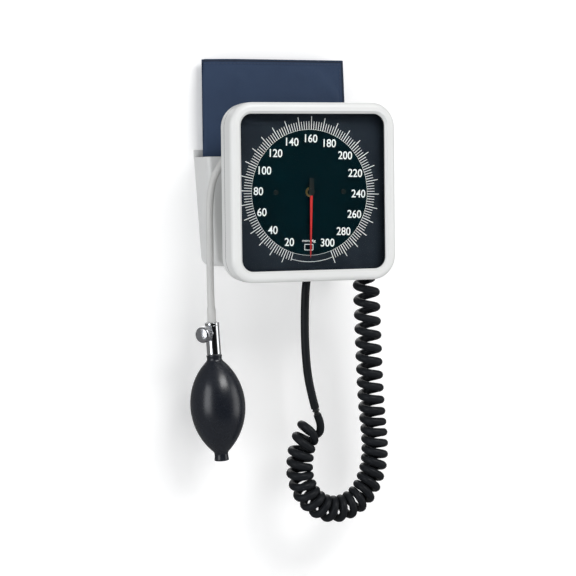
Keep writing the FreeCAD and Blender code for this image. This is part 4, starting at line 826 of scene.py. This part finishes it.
def valve_shell(material):
    """The plated tube of the valve, with rolled ends."""
    edge = 0.7
    foot = -VALVE_LENGTH
    profile = [(2.6, 0.0), (VALVE_RADIUS - 1.6, 0.0)]
    profile += arc_profile((VALVE_RADIUS - edge, -edge), edge, 90, 0, 6)
    profile += [(VALVE_RADIUS, -2.6), (VALVE_RADIUS - 0.18, -2.85), (VALVE_RADIUS, -3.1)]
    profile += [(VALVE_RADIUS, foot + 2.2)]
    profile += arc_profile((VALVE_RADIUS - edge, foot + edge), edge, 0, -90, 6)
    profile += [(4.7, foot), (4.7, foot - 12.8)]
    shell = lathe("valve_shell", profile, VALVE_FRAME, 72, 35, material)
    boss = [(0.4, VALVE_RADIUS - 3.5), (4.2, VALVE_RADIUS - 3.5), (4.2, 9.0), (3.9, 9.5), (2.1, 9.55)]
    collar = lathe("valve_boss", boss, KNOB_FRAME, 48, 35, material)
    for piece in (shell, collar):
        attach(piece, "cuff")
    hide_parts("valve_body")


def bulb_arc(wide, neck_radius, neck_height):
    """Height and radius of an arc from the widest point to a neck, tangent at the widest point."""
    rise = abs(neck_height - wide)
    step = BULB_RADIUS - neck_radius
    radius = (rise ** 2 + step ** 2) / (2 * step)

    def reach(height):
        return BULB_RADIUS - radius + math.sqrt(max(radius ** 2 - (height - wide) ** 2, 0))
    return reach


def squeeze_bulb(material):
    """Moulded rubber: two arcs that meet at the widest point, and a beaded neck at each end."""
    top, foot = -VALVE_LENGTH, -VALVE_LENGTH - BULB_LENGTH
    wide = top - BULB_WIDE_AT
    shoulder, hip = top - NECK_LENGTH, foot + FOOT_LENGTH
    upper = bulb_arc(wide, NECK_RADIUS - 0.35, shoulder)
    lower = bulb_arc(wide, FOOT_RADIUS - 0.3, hip)
    neck_bead = ((-0.5, 0.0), (0.15, 0.35), (0.25, 1.1), (0.05, 1.9), (-0.2, 3.0), (-0.25, 4.2))
    foot_bead = ((-0.1, 2.6), (0.1, 1.3), (0.05, 0.5), (-0.5, 0.02))
    profile = [(4.8, top + 0.02)] + [(NECK_RADIUS + out, top - down) for out, down in neck_bead]
    profile += [(upper(z) + BULB_SKIN, z) for z in np.linspace(shoulder - 0.6, wide, 26)]
    profile += [(lower(z) + BULB_SKIN, z) for z in np.linspace(wide, hip + 0.6, 26)[1:]]
    profile += [(FOOT_RADIUS - 0.25, hip - 0.8), (FOOT_RADIUS - 0.3, hip - 2.4)]
    profile += [(FOOT_RADIUS + out, foot + up) for out, up in foot_bead]
    profile += [(4.6, foot), (4.5, foot + 1.0)]
    piece = lathe("squeeze_bulb", profile, VALVE_FRAME, 96, 50, material)
    for vertex in piece.data.vertices:
        wobble = noise.noise(Vector(vertex.co) * 28.0) * 0.18 * MM
        vertex.co += vertex.normal * wobble
    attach(piece, "cuff")
    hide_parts("bulb")


# ---- Cuff ----

LAYER_HALF = 2.5
HEM_HALF = 1.0
HEM_WIDTH, HEM_RIDGE, PADDING_RISE = 5.5, 0.3, 16.0
LAYER_Y = (-21.9, -15.0, -8.1)
CUFF_GRID = 4.5
EDGE_STEPS = (0.0, 0.7, 2.2, 3.8, 5.0, 5.8, 7.0, 9.0, 12.0)
BEND_STEPS = 8
FREE_END_IN = 1.5
PINCH, PINCH_WIDTH, PINCH_OUT = 0.55, 30.0, 2.2
TOP_ABOVE, TOP_FALL = 0.8, 0.2
SPREAD, FLARE, FLARE_DEPTH = 1.2, 0.034, 50.0
TUCK, TUCK_SHARE = 9.0, 0.22
SEAM_EDGE, SOFT_SPAN, SOFT_IN_BASKET = 5.0, 8.0, 0.25
SWELL_STEPS, SWELL_MOST = 20, 0.9
LONG_CREASE, SHORT_CREASE = 0.8, 0.3


def edged(low, high):
    """Positions from low to high: close together near both ends, for the hem, and even between."""
    inner = EDGE_STEPS[-1] + CUFF_GRID
    count = round((high - low - 2 * inner) / CUFF_GRID)
    between = np.linspace(low + inner, high - inner, count + 1)
    return np.concatenate([low + np.array(EDGE_STEPS), between, (high - np.array(EDGE_STEPS))[::-1]])


def folded_line(left, right):
    """The folded cuff's centre line from above, in millimetres, from its free end at the front's right."""
    bend = (LAYER_Y[1] - LAYER_Y[0]) / 2
    near, far = left + LAYER_HALF + bend, right - LAYER_HALF - bend - 1.0
    front = edged(near, right)[:len(EDGE_STEPS) - 1:-1]
    points = [(x, LAYER_Y[0]) for x in (*front, *np.linspace(front[-1], near, 4)[1:-1])]
    for layer, (reach, way) in enumerate(((near, -1), (far, 1))):
        for i in range(BEND_STEPS + 1):
            angle = math.pi * i / BEND_STEPS
            points.append((reach + way * bend * math.sin(angle),
                           LAYER_Y[layer] + bend - bend * math.cos(angle)))
        if layer == 0:
            points += [(x, LAYER_Y[1]) for x in np.linspace(near, far, int((far - near) / CUFF_GRID))[1:-1]]
    back = edged(left + FREE_END_IN, far)[::-1]
    points += [(x, LAYER_Y[2]) for x in back if x < far - 3.0]
    return np.array(points)


class Fold:
    """Places on the folded cuff from a distance along its line, a height and a side, in millimetres."""

    def __init__(self):
        low, high = (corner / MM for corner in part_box("cuff_cover"))
        self.foot, self.top = low.z + 0.5, high.z + TOP_ABOVE
        self.middle, self.half_width = (low.x + high.x) / 2, (high.x - low.x) / 2
        self.line = folded_line(low.x, high.x)
        self.run = lengths_along(self.line)
        self.tangent = np.gradient(self.line, axis=0)
        self.tangent /= np.linalg.norm(self.tangent, axis=1)[:, None]
        self.length = self.run[-1]
        self.far_bend = self.run[np.argmax(self.line[:, 0] * (self.line[:, 1] > LAYER_Y[0] + 1))]
        self.near_bend = self.run[np.argmin(self.line[:, 0] + 99 * (self.line[:, 1] > LAYER_Y[1] + 1))]

    def edge(self, along, height):
        """Distance to the nearest edge of the cloth."""
        return min(along, self.length - along, height - self.foot, self.top - height)

    def spot(self, along, height, out):
        """A point that stands out from the line by a distance, toward the front on the front layer."""
        x, y = (np.interp(along, self.run, self.line[:, k]) for k in range(2))
        ahead = [np.interp(along, self.run, self.tangent[:, k]) for k in range(2)]
        ahead = np.array(ahead) / max(math.hypot(*ahead), 1e-9)
        x, y = x - ahead[1] * out, y + ahead[0] * out
        share = (height - self.foot) / (self.top - self.foot)
        across = (x - self.middle) / self.half_width
        near = min(max((self.middle - self.half_width + PINCH_WIDTH - x) / PINCH_WIDTH, 0.0), 1.0)
        pinch = near * near * (3 - 2 * near)
        y = LAYER_Y[2] + (y - LAYER_Y[2]) * (1 - PINCH * pinch)
        x -= PINCH_OUT * pinch
        if across < 0:
            x -= TUCK * across * max(0.0, TUCK_SHARE - share) / TUCK_SHARE
        else:
            x += across * (SPREAD + FLARE * min(self.top - height, FLARE_DEPTH))
        return Vector((x, y, height - TOP_FALL * (across + 1) * share)) * MM


def half_thickness(edge):
    """Half thickness from the distance to the nearest edge: a sewn hem and then the padding."""
    if edge <= HEM_WIDTH:
        ridge = math.sin(math.pi * min(max(edge, 0.0), HEM_WIDTH) / HEM_WIDTH)
        return HEM_HALF + HEM_RIDGE * ridge
    share = min((edge - HEM_WIDTH) / PADDING_RISE, 1.0)
    return HEM_HALF + (LAYER_HALF - HEM_HALF) * math.sin(share * math.pi / 2) ** 0.8


def folded_cuff(fold, material):
    """The cuff folded in three. Its hems are pinned and the padding swells between them."""
    heights = edged(fold.foot, fold.top)
    loop = [(z, 1) for z in heights] + [(z, -1) for z in heights[::-1]]
    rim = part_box("wall_basket")[1].z / MM
    verts, soft = [], []
    for along in fold.run:
        for z, side in loop:
            edge = fold.edge(along, z)
            verts.append(fold.spot(along, z, side * half_thickness(edge)))
            above = min(max((z - rim) / SOFT_SPAN, SOFT_IN_BASKET), 1.0)
            soft.append(above * min(max((edge - SEAM_EDGE) / SOFT_SPAN, 0.0), 1.0))
    size, rows = len(loop), len(fold.run)
    faces = ring_faces(rows, size)
    half_size = size // 2
    for start, flip in ((0, True), ((rows - 1) * size, False)):
        for j in range(half_size - 1):
            face = (start + j, start + j + 1, start + size - 2 - j, start + size - 1 - j)
            faces.append(face[::-1] if flip else face)
    piece = new_piece("folded_cuff", verts, faces, material)
    swell(piece, [i for i, share in enumerate(soft) if share == 0.0], soft)
    crumple(piece, soft)
    finer = piece.modifiers.new("finer", "SUBSURF")
    finer.levels = finer.render_levels = 1
    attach(piece, "cuff")
    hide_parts("cuff_cover", "cuff_bladder")


def swell(piece, pinned, soft):
    """Blow the closed cloth up a little with its pinned seams held, and keep the result."""
    rest = np.array([v.co for v in piece.data.vertices])
    group = piece.vertex_groups.new(name="seams")
    group.add(pinned, 1.0, "REPLACE")
    cloth = piece.modifiers.new("cloth", "CLOTH")
    settings = cloth.settings
    settings.quality = 6
    settings.mass = 0.2
    settings.tension_stiffness = 12
    settings.compression_stiffness = 12
    settings.shear_stiffness = 6
    settings.bending_stiffness = 0.4
    settings.use_pressure = True
    settings.uniform_pressure_force = 4.0
    settings.shrink_min = -0.025
    settings.vertex_group_mass = "seams"
    settings.effector_weights.gravity = 0.0
    scene = bpy.context.scene
    for step in range(1, SWELL_STEPS + 1):
        scene.frame_set(step)
    evaluated = piece.evaluated_get(bpy.context.evaluated_depsgraph_get())
    moved = np.array([v.co for v in evaluated.data.vertices])
    piece.modifiers.remove(cloth)
    scene.frame_set(1)
    move = moved - rest
    far = np.linalg.norm(move, axis=1)
    most = SWELL_MOST * MM * np.array(soft)
    held = move * np.minimum(1.0, most / np.maximum(far, 1e-9))[:, None]
    piece.data.vertices.foreach_set("co", (rest + held).ravel())
    piece.data.update()


def crumple(piece, soft):
    """Long soft creases, as nylon keeps after it has been wrapped round an arm."""
    mesh = piece.data
    mesh.update()
    normals = [Vector(v.normal) for v in mesh.vertices]
    for vertex, normal, share in zip(mesh.vertices, normals, soft):
        spot = vertex.co
        long = noise.noise(Vector((spot.x * 16, spot.y * 40, spot.z * 42 + spot.x * 10)))
        short = noise.noise(Vector((spot.x * 70 + 9, spot.y * 60, spot.z * 95)))
        vertex.co += normal * (LONG_CREASE * long + SHORT_CREASE * short) * share * MM


TAPE_REACH, TAPE_HALF, TAPE_CORNER, TAPE_SIDES = 1.7, HEM_HALF + 0.45, 0.6, 10


def cuff_binding(fold, material):
    """A folded tape sewn round the whole edge of the cloth."""
    first, last = TAPE_CORNER, fold.length - TAPE_CORNER
    lowest, highest = fold.foot + TAPE_CORNER, fold.top - TAPE_CORNER
    stops = [s for s in fold.run if first + 1 < s < last - 1]
    heights = edged(fold.foot, fold.top)[2:-2]
    path = [(s, lowest) for s in (first, *stops, last)]
    path += [(last, z) for z in (*heights, highest)]
    path += [(s, highest) for s in (*stops[::-1], first)]
    path += [(first, z) for z in heights[::-1]]
    verts = []
    for along, height in path:
        inward_s = 1.0 if along < 1 else (-1.0 if along > fold.length - 1 else 0.0)
        inward_z = 1.0 if height < fold.foot + 1 else (-1.0 if height > fold.top - 1 else 0.0)
        for j in range(TAPE_SIDES):
            angle = 2 * math.pi * j / TAPE_SIDES
            inset = TAPE_REACH * (0.75 + math.cos(angle))
            verts.append(fold.spot(along + inward_s * inset, height + inward_z * inset,
                                   TAPE_HALF * math.sin(angle)))
    faces = ring_faces(len(path), TAPE_SIDES, closed=True, flipped=True)
    piece = new_piece("cuff_binding", verts, faces, material)
    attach(piece, "cuff")


STITCH_LENGTH, STITCH_GAP, STITCH_THICK, STITCH_INSET = 2.3, 1.1, 0.3, 4.3
STITCH_SHAPE, STITCH_SIDES = ((0.0, 0.2), (0.25, 1.0), (0.75, 1.0), (1.0, 0.2)), 6


def stitch_rows(fold):
    """Start, end and side of each row that shows: on the front layer, its fold, and the back layer."""
    low, high = fold.foot + STITCH_INSET, fold.top - STITCH_INSET
    first, last = STITCH_INSET, fold.length - STITCH_INSET
    return [((first, high), (fold.near_bend, high), 1), ((first, low), (first, high), 1),
            ((fold.far_bend, high), (last, high), -1), ((last, low), (last, high), -1)]


def cuff_stitches(fold, material):
    """Rows of short raised stitches beside the binding."""
    verts, faces = [], []
    one_stitch = ring_faces(len(STITCH_SHAPE), STITCH_SIDES) + end_caps(len(STITCH_SHAPE), STITCH_SIDES)
    for (s0, z0), (s1, z1), side in stitch_rows(fold):
        whole = math.hypot(s1 - s0, z1 - z0)
        step = ((s1 - s0) / whole, (z1 - z0) / whole)
        for i in range(int(whole / (STITCH_LENGTH + STITCH_GAP))):
            start = i * (STITCH_LENGTH + STITCH_GAP)
            base = len(verts)
            for share, grow in STITCH_SHAPE:
                at = start + STITCH_LENGTH * share
                s, z = s0 + step[0] * at, z0 + step[1] * at
                for j in range(STITCH_SIDES):
                    angle = 2 * math.pi * j / STITCH_SIDES
                    across = STITCH_THICK * grow * math.cos(angle)
                    out = half_thickness(STITCH_INSET) + 0.05 + STITCH_THICK * grow * 0.8 * math.sin(angle)
                    verts.append(fold.spot(s - step[1] * across, z + step[0] * across, side * out))
            faces += [tuple(base + i for i in face) for face in one_stitch]
    piece = new_piece("cuff_stitches", verts, faces, material)
    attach(piece, "cuff")


# ---- CAD nodes that stay, each with its material ----

def dress_nodes(dressing):
    """Give each CAD node its material, in place of any that came with it."""
    for material, nodes in dressing:
        for name in nodes:
            mesh = NODES[name].data
            if not mesh.materials:
                mesh.materials.append(material)
            for i in range(len(mesh.materials)):
                mesh.materials[i] = material


# ---- Build ----

add_camera()
add_studio()

grey_rubber = soft_rubber("grey_rubber", tint("d2d2d0"), tint("c8c8c7"), 0.4, 0.5, 0.6)
black_rubber = soft_rubber("black_rubber", tint("1a1c1f"), tint("22252a"), 0.36, 0.46, gloss=0.13)
bulb_rubber = soft_rubber("bulb_rubber", tint("171b23"), tint("20242e"), 0.23, 0.31, gloss=0.66)
seal_rubber = soft_rubber("seal_rubber", tint("55585a"), tint("63666a"), 0.5, 0.6)
bulb_hose(grey_rubber)
cuff_hose(black_rubber)
coiled_hose(black_rubber)

ink = coated("print_ink", "e6e9e8", "c8cccb", 900.0, 0.7, 0.6, 4000.0, (0.00001, 0.3))
dial_scale(ink)
zero_window(ink)
dial_numbers(ink)

plating = chrome()
valve_shell(plating)
thumbscrew(knob_metal())
squeeze_bulb(bulb_rubber)

# The last colour of each woven material is a painted highlight on its thread crossings.
nylon = woven("cuff_nylon", tint("243650"), tint("2c3e59"), 0.45 * MM, tint("354765"))
tape = woven("binding_tape", tint("1a2434"), tint("202b3d"), 0.35 * MM, tint("28354b"))
fold = Fold()
folded_cuff(fold, nylon)
cuff_binding(fold, tape)
thread = coated("stitch_thread", "25304a", "3a4763", 1200.0, 0.9, 0.65, 2600.0, (0.00006, 0.6))
cuff_stitches(fold, thread)
gasket_bead(seal_rubber)

steel = turned_metal("steel", (0.62, 0.62, 0.61), (0.5, 0.5, 0.49), 0.3)
brass = turned_metal("brass", (0.75, 0.57, 0.25), (0.6, 0.43, 0.18), 0.3)
bronze = turned_metal("bronze", (0.55, 0.36, 0.2), (0.42, 0.26, 0.14), 0.32)
copper = turned_metal("copper", (0.72, 0.45, 0.28), (0.55, 0.32, 0.2), 0.28)
black_plastic = moulded("black_plastic", tint("1c1d1f"), tint("26272a"), 0.42, 1800.0).material
basket_plastic = moulded("basket_plastic", tint("e2e3e2"), tint("dadbdb"), 0.45, 1900.0).material
pale_plastic = moulded("pale_plastic", tint("b9b8ae"), tint("a8a79c"), 0.45, 1800.0).material
red_lacquer = coated("red_lacquer", "ad2422", "9a201f", 160.0, 0.6, 0.5, 2500.0, (0.00002, 0.3), 0.2)
dark_lacquer = coated("dark_lacquer", "090f0e", "101716", 300.0, 0.8, 0.55, 900.0, (0.00002, 0.15), 0.12)
dress_nodes([
    (case_plastic(), ["front_bezel", "rear_shell", "gauge_port"]),
    (basket_plastic, ["wall_basket"]),
    (lens_acrylic(), ["lens"]),
    (dial_enamel(RING_RADIUS * MM), ["dial_plate"]),
    (red_lacquer, ["pointer"]),
    (dark_lacquer, ["pointer_hub", "dial_screws"]),
    (black_rubber, ["lens_gasket", "cuff_bladder", "cuff_port_gauge"]),
    (seal_rubber, ["case_gasket"]),
    (black_plastic, ["dial_spacer", "mounting_hub", "connector_socket", "connector_plug"]),
    (steel, ["case_screws", "hub_screws", "capsule_nut", "pointer_arbor", "rocker_shaft", "valve_stem",
             "inlet_ball"]),
    (brass, ["movement_front_plate", "movement_rear_plate", "movement_pillars", "sector_gear",
             "capsule_stud", "capsule_push_pin"]),
    (bronze, ["hairspring"]),
    (copper, ["capsule_front_half", "capsule_rear_half"]),
    (ruby(), ["pivot_jewels"]),
    (soft_rubber("silicone", tint("b8b8b2"), tint("a5a59e"), 0.35, 0.5), ["capsule_tube"]),
    (soft_rubber("disc_rubber", tint("5a3a2a"), tint("6b4a38"), 0.45, 0.6), ["outlet_disc"]),
    (pale_plastic, ["outlet_seat", "bulb_inlet"]),
    (grey_rubber, ["cuff_port_bulb"]),
    (hook_tape(), ["hook_patch"]),
])
